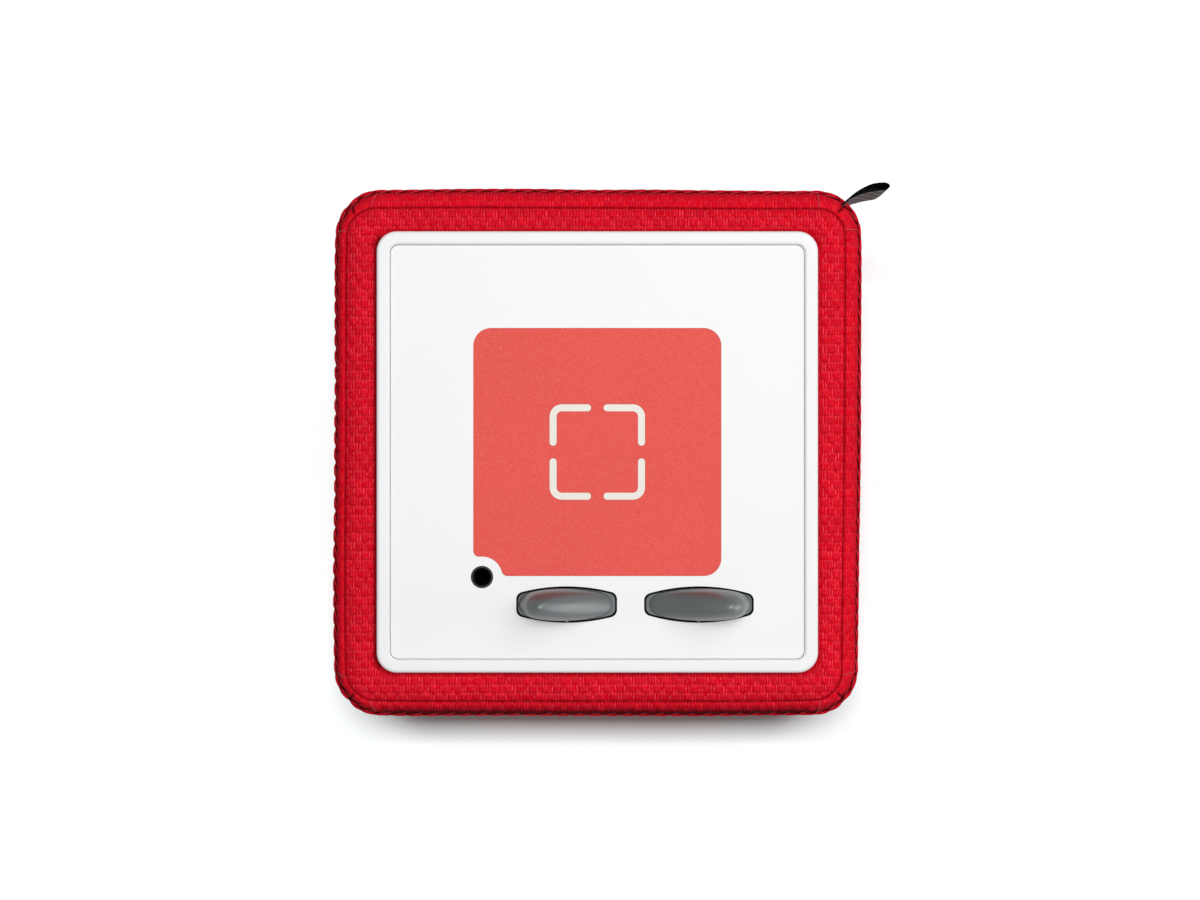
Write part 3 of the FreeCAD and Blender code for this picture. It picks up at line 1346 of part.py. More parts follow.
node(on_board("processor_chip", "0", "(main_board_y - chip_half)", "chip_half", "chip_half",
              "chip_height"), "processor_chip")
node(on_board("wifi_module", "post_x - 3*chip_half", "(main_board_y + post_y - 2*chip_half)",
              "1.3*chip_half", "1.9*chip_half", "2*chip_height"), "wifi_module")
node(on_board("memory_card", "-main_board_width/2 + 2*card_half_x", "main_board_y",
              "card_half_x", "card_half_y", "chip_height"), "memory_card")
CONNECTORS = {
    "ribbon": ("ribbon_x", "ribbon_y"),
    "battery": ("battery_plug_x", "battery_plug_y"),
    "speaker": ("speaker_plug_x", "speaker_plug_y"),
}
CONNECTOR_TOP = f"({BOARD_FACE} + connector_height)"
connectors = [
    on_board(name + "_connector", x, y, "connector_half_x", "connector_half_y", "connector_height")
    for name, (x, y) in CONNECTORS.items()]
connectors.append(box(
    "control_connector", "ribbon_x - connector_half_x", "control_plug_y - connector_half_y",
    f"{BOARD_UNDER} - connector_height", "2*connector_half_x", "2*connector_half_y",
    "connector_height"))
node(group("board_connectors", connectors), "board_connectors")

# ----------------------------------------------------------------- battery
CELL_LEVEL = f"({FLOOR_TOP} + cradle_wall + cell_radius)"
CRADLE_HALF_X = "(cell_length/2 + soft_gap + cradle_wall)"
CRADLE_HALF_Y = "(cell_pitch/2 + cell_radius + soft_gap + cradle_wall)"
cells = [
    cylinder(f"cell_{side}", "-cell_length/2", f"main_board_y + {side}*cell_pitch/2", CELL_LEVEL,
             "cell_radius", "cell_length", "+X")
    for side in (-1, 1)]
node(group("battery_cells", cells), "battery_cells")
cradle = new_body("battery_cradle")
profile = sketch(cradle, FLOOR_TOP)
rectangle(profile, "0", "main_board_y", CRADLE_HALF_X, CRADLE_HALF_Y)
pad(cradle, profile, "cradle_height")
troughs = sketch(cradle, "(-cell_length/2 - soft_gap)", "YZ_Plane")
for side in (-1, 1):
    circle(troughs, f"(main_board_y + {side}*cell_pitch/2)", CELL_LEVEL, "(cell_radius + soft_gap)")
pocket(cradle, troughs, "cell_length + 2*soft_gap")
node(cradle, "battery_cradle")

STRAP_INNER_Y = f"({CRADLE_HALF_Y} + fit_gap)"
STRAP_OUTER_Y = f"({STRAP_INNER_Y} + strap_thickness)"
STRAP_UNDER = f"({CELL_LEVEL} + cell_radius + fit_gap)"
strap = new_body("battery_strap")
profile = sketch(strap, "-strap_width/2", "YZ_Plane")
polygon(profile, [
    (f"main_board_y - {STRAP_OUTER_Y}", FLOOR_TOP), (f"main_board_y - {STRAP_INNER_Y}", FLOOR_TOP),
    (f"main_board_y - {STRAP_INNER_Y}", STRAP_UNDER), (f"main_board_y + {STRAP_INNER_Y}", STRAP_UNDER),
    (f"main_board_y + {STRAP_INNER_Y}", FLOOR_TOP), (f"main_board_y + {STRAP_OUTER_Y}", FLOOR_TOP),
    (f"main_board_y + {STRAP_OUTER_Y}", f"{STRAP_UNDER} + strap_thickness"),
    (f"main_board_y - {STRAP_OUTER_Y}", f"{STRAP_UNDER} + strap_thickness")])
pad(strap, profile, "strap_width")
node(strap, "battery_strap")


# ------------------------------------------------------------ inner wiring
def lead_path(name, places):
    """Straight runs joined by tangent arcs, as large as the runs allow."""
    corners = [FreeCAD.Vector(*place_at) for place_at in places]
    edges = []
    start = corners[0]
    smallest = None
    for before, corner, after in zip(corners, corners[1:], corners[2:]):
        arriving = corner - before
        leaving = after - corner
        turn = arriving.getAngle(leaving)
        reach = 0.45 * min(arriving.Length, leaving.Length)
        radius = reach / math.tan(turn / 2)
        smallest = radius if smallest is None else min(smallest, radius)
        arriving.normalize()
        leaving.normalize()
        arc_start = corner - arriving * reach
        arc_end = corner + leaving * reach
        inward = (leaving - arriving).normalize()
        sagitta = radius / math.cos(turn / 2) - radius
        edges.append(Part.LineSegment(start, arc_start).toShape())
        edges.append(Part.Arc(arc_start, corner + inward * sagitta, arc_end).toShape())
        start = arc_end
    edges.append(Part.LineSegment(start, corners[-1]).toShape())
    print(f"{name}: smallest bend radius {smallest:.1f} mm")
    return Part.Wire(edges)


def round_lead(name, places):
    path = lead_path(name, places)
    start = path.Edges[0].firstVertex().Point
    along = path.Edges[0].tangentAt(path.Edges[0].FirstParameter)
    section = Part.Wire([Part.Circle(start, along, size("lead_radius")).toShape()])
    return set_shape(name, path.makePipeShell([section], True, False))


PLUG_TOP = size(CONNECTOR_TOP)
LOOP = size("lead_loop")


def above_plug(plug_x, plug_y, offsets):
    """Route points round a plug, as shares of the loop that a lead makes above it."""
    return [(size(plug_x) + across * LOOP, size(plug_y) + along * LOOP, PLUG_TOP + up * LOOP)
            for across, along, up in offsets]


CELL_END = size(CRADLE_HALF_X)
LEAD_ROOM = size(CORE_INNER) - CELL_END
LEAD_START = size(f"{CELL_LEVEL} - cell_radius/2")
LEAD_RISE = PLUG_TOP - LEAD_START
battery_route = [
    (CELL_END + across * LEAD_ROOM, size("battery_plug_y"), LEAD_START + up * LEAD_RISE)
    for across, up in ((0, 0), (0.41, 0), (0.73, 0.19), (0.80, 0.51), (0.74, 0.83))]
battery_route += above_plug("battery_plug_x", "battery_plug_y", [
    (1.43, 0, 0.36), (0.90, 0, 0.95), (0.31, 0, 1.0), (0, 0, 0.55), (0, 0, 0)])
node(round_lead("battery_lead", battery_route), "battery_lead")

# the speaker lead leaves the sloping side of the basket square to it
side_depth = size("gasket_thickness + speaker_flange + basket_depth/2")
side_radius = size(f"({BASKET_LIP} + basket_back_radius)/2 + basket_wall")
side_slope = math.atan2(size(f"{BASKET_LIP} - basket_back_radius"), size("basket_depth"))
side_turn = math.radians(29)
outward = FreeCAD.Vector(
    -math.cos(side_slope) * math.sin(side_turn), math.sin(side_slope),
    -math.cos(side_slope) * math.cos(side_turn))
lead_root = FreeCAD.Vector(
    -side_radius * math.sin(side_turn), side_depth - size(CORE_INNER),
    size("speaker_level") - side_radius * math.cos(side_turn))
speaker_route = [tuple(lead_root), tuple(lead_root + outward * 0.55 * LOOP)]
speaker_route += above_plug("speaker_plug_x", "speaker_plug_y", [
    (0.14, -1.38, 0.40), (0.05, -0.83, 0.55), (0, -0.31, 0.79), (0, 0, 0.48), (0, 0, 0)])
node(round_lead("speaker_lead", speaker_route), "speaker_lead")

RIBBON_TOP = size(f"{BOARD_UNDER} - connector_height")
CONTROL_PLUG_Y = size("control_plug_y")
RIBBON_STEP = size("ribbon_y") - CONTROL_PLUG_Y
RIBBON_DROP = RIBBON_TOP - PLUG_TOP
ribbon_route = [
    (size("ribbon_x"), CONTROL_PLUG_Y + along * RIBBON_STEP, RIBBON_TOP - down * RIBBON_DROP)
    for along, down in ((0, 0), (0, 0.23), (0.22, 0.52), (0.85, 0.77), (1, 0.90), (1, 1))]
ribbon_path = lead_path("ribbon_cable", ribbon_route)
half_width = size("ribbon_width/2")
half_thickness = size("ribbon_thickness/2")
ribbon_start = FreeCAD.Vector(*ribbon_route[0])
ribbon_corners = [
    ribbon_start + FreeCAD.Vector(x, y, 0)
    for x, y in ((-half_width, -half_thickness), (half_width, -half_thickness),
                 (half_width, half_thickness), (-half_width, half_thickness))]
ribbon_section = Part.makePolygon(ribbon_corners + ribbon_corners[:1])
node(set_shape("ribbon_cable", ribbon_path.makePipeShell([ribbon_section], True, False)),
     "ribbon_cable")

# ------------------------------------------------------- check and write out
doc.recompute()
for item in doc.Objects:
    if "Invalid" in item.State or "Error" in item.State:
        raise RuntimeError(f"{item.Name} is {item.State}")
for item in nodes:
    if item.Shape.isNull() or not item.Shape.isValid() or not item.Shape.Solids:
        raise RuntimeError(f"{item.Label} has no valid solid")

os.makedirs("parts", exist_ok=True)
for item in nodes:
    item.Shape.exportStep(f"parts/{item.Label}.step")
    bounds = item.Shape.BoundBox
    print(f"{item.Label:20s} {len(item.Shape.Solids):3d} solids {item.Shape.Volume:10.1f} mm3")
print(len(nodes), "sub-parts")
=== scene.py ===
import math

import bmesh
import bpy
import numpy as np
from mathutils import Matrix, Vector


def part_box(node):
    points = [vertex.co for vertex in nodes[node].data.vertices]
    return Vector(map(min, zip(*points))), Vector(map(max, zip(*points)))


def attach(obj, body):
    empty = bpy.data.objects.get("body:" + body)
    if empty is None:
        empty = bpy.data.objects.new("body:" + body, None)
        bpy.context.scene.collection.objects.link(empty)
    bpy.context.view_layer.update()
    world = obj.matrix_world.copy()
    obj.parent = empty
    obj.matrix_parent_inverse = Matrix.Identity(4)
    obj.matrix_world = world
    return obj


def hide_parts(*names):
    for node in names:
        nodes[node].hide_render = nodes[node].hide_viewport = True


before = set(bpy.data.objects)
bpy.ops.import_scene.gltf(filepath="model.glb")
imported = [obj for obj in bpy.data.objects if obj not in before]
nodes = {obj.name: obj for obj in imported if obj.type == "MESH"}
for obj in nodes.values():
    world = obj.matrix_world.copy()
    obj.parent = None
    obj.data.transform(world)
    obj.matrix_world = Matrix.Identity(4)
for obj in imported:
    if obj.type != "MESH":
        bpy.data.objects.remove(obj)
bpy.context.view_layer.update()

# ------------ studio
# A white paper sweep on a table. A large soft box hangs above the player's
# right shoulder, a smaller one overhead, and a dim one stands at the right, all
# flagged off the paper. A strip lamp high above, flagged off the player, washes
# it white, and two small ones are masked down to the levers' glints.


def put(name, data):
    """New object in the scene."""
    made = bpy.data.objects.new(name, data)
    bpy.context.scene.collection.objects.link(made)
    return made


lens = bpy.data.cameras.new("overhead_camera")
lens.lens = 91.5
lens.sensor_width = 36.0
lens.clip_start = 0.01
camera = put("overhead_camera", lens)
camera.location = (0.00064, 0.00048, 0.850)
bpy.context.scene.camera = camera
bpy.context.scene.view_settings.view_transform = "Standard"


def linear(code):
    """Linear colour of an sRGB hex code."""
    channels = [int(code[i:i + 2], 16) / 255 for i in (1, 3, 5)]
    return [c / 12.92 if c <= 0.04045 else ((c + 0.055) / 1.055) ** 2.4 for c in channels] + [1.0]


def feed(node, inputs):
    """Feeds a node's inputs: each with a value, a hex code, an output, or a node's first output in use."""
    for socket, value in inputs.items():
        if isinstance(value, str) and value.startswith("#"):
            value = linear(value)
        if isinstance(value, bpy.types.Node):
            value = next(output for output in value.outputs if output.enabled)
        if isinstance(value, bpy.types.NodeSocket):
            node.id_data.links.new(value, node.inputs[socket])
        else:
            node.inputs[socket].default_value = value
    return node


def add(tree, kind, inputs={}, **settings):
    """Adds a node, with its settings and what feeds its inputs."""
    made = tree.nodes.new(kind)
    for name, value in settings.items():
        setattr(made, name, value)
    return feed(made, inputs)


def new_finish(name):
    """New material: itself, its node tree, its shader and its Object coordinates."""
    made = bpy.data.materials.new(name)
    made.use_nodes = True
    tree = made.node_tree
    return made, tree, tree.nodes["Principled BSDF"], add(tree, "ShaderNodeTexCoord").outputs["Object"]


# matt paper: even cool white with a faint tooth of about 1 mm
paper, tree, shader, place = new_finish("matt_white_paper")
tooth = add(tree, "ShaderNodeTexNoise", {"Vector": place, "Scale": 900.0, "Detail": 3.0})
grain = add(tree, "ShaderNodeBump", {"Height": tooth, "Strength": 0.03, "Distance": 0.0002})
feed(shader, {"Base Color": "#f3f8f8", "Roughness": 0.85, "Specular IOR Level": 0.2, "Normal": grain})
sweep_mesh = bpy.data.meshes.new("paper_sweep")
sweep_mesh.from_pydata([(-3, -3, 0), (3, -3, 0), (3, 3, 0), (-3, 3, 0)], [], [(0, 1, 2, 3)])
sweep_mesh.materials.append(paper)
sweep = put("paper_sweep", sweep_mesh)
# the paper throws no light back on the player
sweep.visible_diffuse = False

flags = {}
for name, state, masked in (("paper_only", "INCLUDE", [sweep]), ("off_paper", "EXCLUDE", [sweep]),
                            ("levers_only", "INCLUDE", [nodes["volume_lever"], nodes["track_lever"]])):
    flags[name] = bpy.data.collections.new(name)
    for item in masked:
        flags[name].objects.link(item)
    for entry in flags[name].collection_objects:
        entry.light_linking.link_state = state
for name, spot, width, depth, watts, flag in (
        ("key_soft_box", (0.46, 0.36, 1.00), 0.80, 0.80, 4.3, "off_paper"),
        ("overhead_soft_box", (0.0, 0.11, 1.30), 0.60, 0.60, 7.6, "off_paper"),
        ("side_soft_box", (0.45, -0.03, 0.20), 0.17, 0.17, 0.32, "off_paper"),
        ("lever_top_light", (0.0, -0.34, 1.05), 0.34, 0.34, 4.6, "levers_only"),
        ("lever_side_light", (0.42, -0.16, 0.26), 0.40, 0.40, 1.6, "levers_only"),
        ("paper_lamp", (0.0, 0.555, 5.00), 0.90, 0.31, 237.0, "paper_only")):
    lamp = bpy.data.lights.new(name, "AREA")
    lamp.shape = "RECTANGLE"
    lamp.size, lamp.size_y = width, depth
    lamp.energy = watts
    item = put(name, lamp)
    item.location = spot
    item.rotation_euler = (Vector((0, 0, 0.10)) - Vector(spot)).to_track_quat("-Z", "Y").to_euler()
    item.light_linking.receiver_collection = flags[flag]
room = bpy.data.worlds.new("pale_room")
room.use_nodes = True
feed(room.node_tree.nodes["Background"], {"Color": "#ffffff", "Strength": 0.20})
bpy.context.scene.world = room

# ------------ core box
# The player is built round a stiff black box of glass-filled nylon. Its floor
# is a plate of ABS screwed on from below, and a rubber ring under that keeps
# the player from sliding. The lever cheeks and battery cradle are nylon too.


flow_mm = 25                                # length of the streaks that plastic leaves as it flows


def moulded(name, main, flow, roughness, grain_mm, grain_depth_mm, specular=0.5):
    """Moulded plastic: two near colours where it flowed, and the skin that the mould's grain left."""
    made, tree, shader, place = new_finish(name)
    streaks = add(tree, "ShaderNodeTexNoise", {"Vector": place, "Scale": 1000.0 / flow_mm})
    tint = add(tree, "ShaderNodeMix", {0: streaks, 6: main, 7: flow}, data_type="RGBA")
    skin = add(tree, "ShaderNodeTexNoise", {"Vector": place, "Scale": 1000.0 / grain_mm})
    sheen = add(tree, "ShaderNodeMapRange", {0: skin, 3: roughness - 0.04, 4: roughness + 0.05})
    pits = add(tree, "ShaderNodeBump", {"Height": skin, "Strength": 0.35, "Distance": grain_depth_mm / 1000})
    feed(shader, {"Base Color": tint, "Roughness": sheen, "Specular IOR Level": specular, "Normal": pits})
    return made


def dress(finish, *names):
    """Gives CAD pieces their finish."""
    for name in names:
        nodes[name].data.materials.clear()
        nodes[name].data.materials.append(finish)


# glass fibre dulls the nylon and leaves a coarse, uneven skin
dress(moulded("glass_filled_nylon", "#242426", "#2f2f31", 0.55, 0.5, 0.03),
      "core_body", "lever_carrier", "battery_cradle")
# ABS from a finely sparked mould: an even satin black
dress(moulded("sparked_black_abs", "#18181a", "#1f1f21", 0.45, 0.25, 0.02), "base_plate")
# moulded rubber: soft, nearly without gloss, a little dusty
dress(moulded("moulded_foot_rubber", "#1b1b1b", "#262625", 0.78, 0.35, 0.03, 0.3), "foot_ring")
# woven nylon strap over the cells reads as fine black cloth
dress(moulded("nylon_strap", "#141416", "#202024", 0.70, 0.4, 0.05, 0.25), "battery_strap")

# ------------ screws and pins
# Self-tapping screws of zinc-plated steel hold floor plate, bezel, boards and
# speaker. The levers turn on ground pins of stainless steel, and the dock's
# magnet is nickel-plated.


def metal(name, main, flow, roughness, grain_mm):
    """Bare or plated metal, with fine tool marks in its gloss."""
    made, tree, shader, place = new_finish(name)
    marks = add(tree, "ShaderNodeTexNoise", {"Vector": place, "Scale": 1000.0 / grain_mm, "Detail": 3.0})
    tint = add(tree, "ShaderNodeMix", {0: marks, 6: main, 7: flow}, data_type="RGBA")
    gloss = add(tree, "ShaderNodeMapRange", {0: marks, 3: roughness - 0.06, 4: roughness + 0.08})
    feed(shader, {"Base Color": tint, "Roughness": gloss, "Metallic": 1.0})
    return made


# blue-white zinc, slightly mottled
dress(metal("zinc_plated_steel", "#b9bcc2", "#9a9da5", 0.36, 0.8),
      "base_screws", "deck_screws", "control_screws", "speaker_screws", "board_screws")
# ground stainless: brighter and sharper
dress(metal("ground_stainless", "#c9c8c4", "#b4b2ad", 0.22, 0.3),
      "volume_pivot_pin", "track_pivot_pin", "usb_socket")
# nickel: warm and smooth
dress(metal("nickel_plate", "#c8c2b6", "#b8b1a4", 0.18, 1.5), "dock_magnet", "wifi_module")

# ------------ speaker
# A small full-range driver behind the front textile: pressed steel basket,
# ferrite magnet in a plated can, paper cone on a rubber surround, an EVA
# gasket, and a perforated grille that keeps fingers off the cone.
# baked black paint over pressed steel: smooth, with a low shine
dress(moulded("black_painted_steel", "#101012", "#17171a", 0.35, 0.6, 0.015), "speaker_basket")
# plated can: dull grey metal, slightly mottled
dress(metal("speaker_magnet_can", "#a7a9ad", "#8d9096", 0.42, 0.6), "speaker_magnet")
# pressed paper pulp: fibrous and matt
dress(moulded("pressed_paper_pulp", "#1c1b1a", "#2e2c2a", 0.90, 0.9, 0.08, 0.2), "speaker_cone")
# butyl roll: smooth dull black
dress(moulded("butyl_rubber_roll", "#131313", "#1d1d1d", 0.60, 0.5, 0.02, 0.35), "speaker_surround")
# closed-cell foam strip with visible cells
dress(moulded("eva_gasket_foam", "#222224", "#333335", 0.88, 0.5, 0.12, 0.2), "speaker_gasket")
# moulded grille: even satin black
dress(moulded("moulded_grille_abs", "#151517", "#1d1d20", 0.48, 0.3, 0.02), "speaker_grille")

# ------------ boards and cells
# Four glass-epoxy boards under green solder resist carry the electronics. Two
# lithium cells in blue shrink wrap lie in the cradle, and thin leads and a
# flat cable join them to the plugs.
# green lacquer over copper tracks: the tracks show as paler, raised bars. They
# lie 0.9 mm apart, drawn coarser than the real 0.3 mm so that they show
lacquer, tree, shader, place = new_finish("green_solder_resist")
tracks = add(tree, "ShaderNodeTexBrick", {
    "Vector": place, "Scale": 1.0, "Color1": "#0f5a34", "Color2": "#12683c",
    "Mortar": "#0a4125", "Mortar Size": 0.00022, "Brick Width": 0.0094, "Row Height": 0.0009},
    offset=0.37, offset_frequency=3)
bars = add(tree, "ShaderNodeBump", {"Height": tracks.outputs["Fac"], "Strength": 0.4, "Distance": 0.00003})
feed(shader, {"Base Color": tracks, "Roughness": 0.32, "Coat Weight": 0.4, "Normal": bars})
dress(lacquer, "control_board", "nfc_board", "main_board", "io_board")
# etched copper: warm and bright, a little uneven
dress(metal("etched_copper", "#c57a4c", "#a9633c", 0.34, 0.5), "nfc_coil")
# epoxy moulding compound: charcoal with a fine sparkle of filler
dress(moulded("chip_epoxy", "#1b1c1e", "#27282b", 0.50, 0.15, 0.01), "processor_chip")
# PBT plastic: hard, slightly glossy black
dress(moulded("black_pbt", "#131315", "#1b1b1e", 0.35, 0.4, 0.01),
      "board_connectors", "power_switch", "switch_plunger", "memory_card")
# PVC sleeve shrunk on the cells: glossy blue with slight puckers
dress(moulded("pvc_shrink_wrap", "#1f4f96", "#2a60ad", 0.25, 3.0, 0.10), "battery_cells")
# silicone insulation: dull, slightly tacky
dress(moulded("silicone_lead_jacket", "#1a1a1c", "#29292b", 0.55, 0.8, 0.02, 0.35),
      "battery_lead", "speaker_lead")
# milky silicone rubber of the key domes
dress(moulded("grey_silicone_domes", "#6d7073", "#7c8083", 0.62, 0.5, 0.01, 0.35),
      "volume_dome_pads", "track_dome_pads")


def formed_by(pattern, tree, shader, low, high, roughness, strength, depth_mm, specular=0.5):
    """Finish that one pattern both tints, between two colours, and raises."""
    tint = add(tree, "ShaderNodeMix", {0: pattern, 6: low, 7: high}, data_type="RGBA")
    relief = add(tree, "ShaderNodeBump", {"Height": pattern, "Strength": strength, "Distance": depth_mm / 1000})
    feed(shader, {"Base Color": tint, "Roughness": roughness, "Specular IOR Level": specular, "Normal": relief})


# the flat cable: copper strips 1 mm apart seen through white polyester film
flat_cable, tree, shader, place = new_finish("laminated_flat_cable")
strips = add(tree, "ShaderNodeTexWave", {"Vector": place, "Scale": 310.0},
             wave_type="BANDS", bands_direction="X").outputs["Fac"]
formed_by(strips, tree, shader, "#e6e3da", "#b9a48e", 0.35, 0.3, 0.05)
dress(flat_cable, "ribbon_cable")

# ------------ foam padding
# Four pads of soft polyurethane foam fill the room between box and cover on
# the sides. They are die-cut, so their edges round off a little, and the
# front one has a round window for the speaker.
# open-cell foam: grey, with cells about 0.9 mm wide that catch shade
foam_finish, tree, shader, place = new_finish("open_cell_foam")
cells = add(tree, "ShaderNodeTexVoronoi", {"Vector": place, "Scale": 1100.0})
formed_by(cells, tree, shader, "#4b4b4e", "#77777b", 0.95, 0.7, 0.4, 0.15)


def welded(name):
    """A CAD piece's faces with their corners joined, open for changes, and the mesh they go to."""
    mesh = nodes[name].data.copy()
    form = bmesh.new()
    form.from_mesh(mesh)
    bmesh.ops.remove_doubles(form, verts=form.verts, dist=1e-6)
    return form, mesh


def plain_mesh(item):
    """Mesh of an object with its modifiers applied."""
    ready = bpy.data.meshes.new_from_object(item.evaluated_get(bpy.context.evaluated_depsgraph_get()))
    item.modifiers.clear()
    return ready


for side in ("front", "right", "back", "left"):
    form, block = welded(side + "_foam")
    form.to_mesh(block)
    form.free()
    pad = put(side + "_pad", block)
    skin = pad.modifiers.new("skin", "REMESH")
    skin.mode, skin.voxel_size = "VOXEL", 0.0015
    soften = pad.modifiers.new("soften", "SMOOTH")
    soften.factor, soften.iterations = 0.5, 3
    pad.data = plain_mesh(pad)
    pad.data.shade_smooth()
    pad.data.materials.clear()
    pad.data.materials.append(foam_finish)
    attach(pad, "player")
    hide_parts(side + "_foam")

# ------------ textile cover
# A padded slip cover of heavy polyester jacquard goes over box and foam: a lid
# with a turned-down band, four side panels and an underside. Its weave shows
# as short raised bricks between ribbed gaps, and the panels meet in seams.
# Sizes here are in millimetres.
seam_out, seam_round = 62.8, 11.0           # where lid and sides are joined
crease = (59.5, 59.0, 58.6, 60.2)           # front, right, back, left: where the band turns down
crease_round = 6.5
opening, opening_round = 51.2, 3.5          # edge clamped under the bezel
lid_level, seam_level, hem_level = 122.35, 118.3, 5.2
seam_corner = math.pi / 4 * seam_round      # half a corner, along the seam
side_run = 2 * (seam_out - seam_round) + 2 * seam_corner
stitch_count = 125
seam_pitch = 4 * side_run / stitch_count
brick_step, brick_share, row_step, weave_height = 2.96, 0.56, 2.15, 0.28
tack_run = 7.0                              # from each corner of the lid to its tacks


def corner_turn(column):
    """Angle by which a ring has turned from the middle of its side."""
    return (np.clip(column - 2, 0, 1) - np.clip(1 - column, 0, 1)) * math.pi / 4


def facing(side, along, outward):
    """Turns a place given for the front side round to another side."""
    return ((along, -outward), (outward, along), (-along, outward), (-outward, -along))[side]


def ring_place(side, column, out, before, after, radius):
    """World x and y along one side of a rounded square ring.

    Columns 0 to 1 cover the first half corner, 1 to 2 the straight and 2 to 3
    the second half corner; before and after are the neighbour sides' distances."""
    turn = corner_turn(column)
    along = (radius - before + np.clip(column - 1, 0, 1) * (before + after - 2 * radius)
             + radius * np.sin(turn))
    return facing(side, along, out - radius + radius * np.cos(turn))


def lid_place(side, column, out, radius):
    """The same on the lid: out gives a side's distance from that of its crease."""
    return ring_place(side, column, *(out(crease[k % 4]) for k in (side, side - 1, side + 1)), radius)


def columns(corner_steps, straight_steps):
    """Column marks of one side, without its last."""
    return np.concatenate([np.linspace(k, k + 1, count, endpoint=False)
                           for k, count in enumerate((corner_steps, straight_steps, corner_steps))])


def seam_run(column):
    """Distance along the seam from a side's first corner seam."""
    return (seam_corner * (np.clip(column, 0, 1) + np.clip(column - 2, 0, 1))
            + 2 * (seam_out - seam_round) * np.clip(column - 1, 0, 1))


def smooth(value, low, high):
    """0 below low, 1 above high, with a soft step between."""
    share = np.clip((value - low) / (high - low), 0, 1)
    return share * share * (3 - 2 * share)


def bell(value, width, power=2):
    """1 at zero, falling off to both sides."""
    return np.exp(-(value / width) ** power)


def scatter(first, second):
    """Even random numbers from 0 to 1, the same for the same pair of numbers."""
    return np.modf(np.abs(np.sin(first * 12.9898 + second * 78.233) * 43758.5453))[0]


def drift(across, along, span, salt):
    """Slow random swell from -1 to 1 over a surface, span millimetres wide."""
    low_x, low_y = np.floor(across / span), np.floor(along / span)
    share_x, share_y = smooth(across / span - low_x, 0, 1), smooth(along / span - low_y, 0, 1)
    near, far = (scatter(low_x + salt, row - salt) * (1 - share_x)
                 + scatter(low_x + 1 + salt, row - salt) * share_x for row in (low_y, low_y + 1))
    return 2 * (near * (1 - share_y) + far * share_y) - 1


def weave_relief(across, along):
    """Height of the jacquard, 0 to 1, and each brick's own random number."""
    row = np.floor(along / row_step)
    lie = along / row_step - row
    spot = across / brick_step + 0.5 * (row % 2)
    brick = np.floor(spot)
    spot = spot - brick
    chance = scatter(row, brick)
    across_row = smooth(lie, 0.0, 0.22) * smooth(-lie, -1.0, -0.86)
    pillow = smooth(spot, 0.0, 0.12) * smooth(-spot, -brick_share, 0.12 - brick_share)
    return across_row * (0.35 + pillow * (0.5 + 0.3 * chance)), chance


def surface_normals(grid, closed):
    """Outward normals of a grid whose rows run outwards or down."""
    if closed:
        along = np.roll(grid, -1, axis=1) - np.roll(grid, 1, axis=1)
    else:
        along = np.gradient(grid, axis=1)
    normal = np.cross(np.gradient(grid, axis=0), along)
    return normal / np.maximum(np.linalg.norm(normal, axis=2, keepdims=True), 1e-9)


def grid_faces(number):
    """Corner numbers of the faces between the points of a grid."""
    return np.stack([number[:-1, :-1], number[1:, :-1], number[1:, 1:], number[:-1, 1:]], axis=2).reshape(-1, 4)


def woven_panel(name, grid, across, along, fade, painted_shade, closed, window=None):
    """One textile panel: a grid of points in mm, raised by the weave and made a mesh.

    fade weakens the weave where the cloth is pulled flat, and painted_shade is 1 where shade is painted, as in a seam
    or crease."""
    across = across + 0.16 * drift(across, along, 5.0, 3)
    along = along + 0.14 * drift(across, along, 6.0, 8)
    relief, chance = weave_relief(across, along)
    grid = grid + surface_normals(grid, closed) * (weave_height * fade * relief)[..., None]
    rows, count = relief.shape
    corner = np.arange(rows * count).reshape(rows, count)
    if closed:
        corner = np.concatenate([corner, corner[:, :1]], axis=1)
    faces = grid_faces(corner)
    if window:
        faces = faces[~window(grid.reshape(-1, 3)[faces].mean(axis=1))]
    used, faces = np.unique(faces, return_inverse=True)
    faces = faces.reshape(-1, 4)
    sheet = bpy.data.meshes.new(name)
    sheet.from_pydata((grid.reshape(-1, 3)[used] / 1000).tolist(), [], faces.tolist())
    for label, data in (("slack", fade + 0 * relief), ("yarn", chance), ("painted_shade", painted_shade + 0 * relief)):
        sheet.attributes.new(label, "FLOAT", "POINT").data.foreach_set(
            "value", data.reshape(-1)[used].astype(np.float32))
    thread_map = np.stack([across, along], axis=2).reshape(-1, 2)[used][faces.reshape(-1)] / 1000
    sheet.uv_layers.new(name="threads").data.foreach_set("uv", thread_map.reshape(-1).astype(np.float32))
    sheet.shade_smooth()
    sheet.materials.append(jacquard)
    panel = put(name, sheet)
    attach(panel, "player")
    return panel


# polyester jacquard: matt red yarn. The bricks are a calm mid red with a painted
# shadow line under each and a painted highlight along their tops; the gaps are more
# saturated, with painted highlights on their upright ribs. Lines and ribs lie
# 0.3 to 0.65 mm apart, under a fluff of 0.2 mm
jacquard, tree, shader, place = new_finish("polyester_jacquard")
threads = add(tree, "ShaderNodeUVMap", uv_map="threads")
thread_axes = add(tree, "ShaderNodeSeparateXYZ", {"Vector": threads}).outputs
# noise drawn out along the yarn: fibres 0.3 mm apart and 1.2 mm long
stretch = add(tree, "ShaderNodeMapping", {"Vector": threads, "Scale": (3300.0, 800.0, 1.0)})
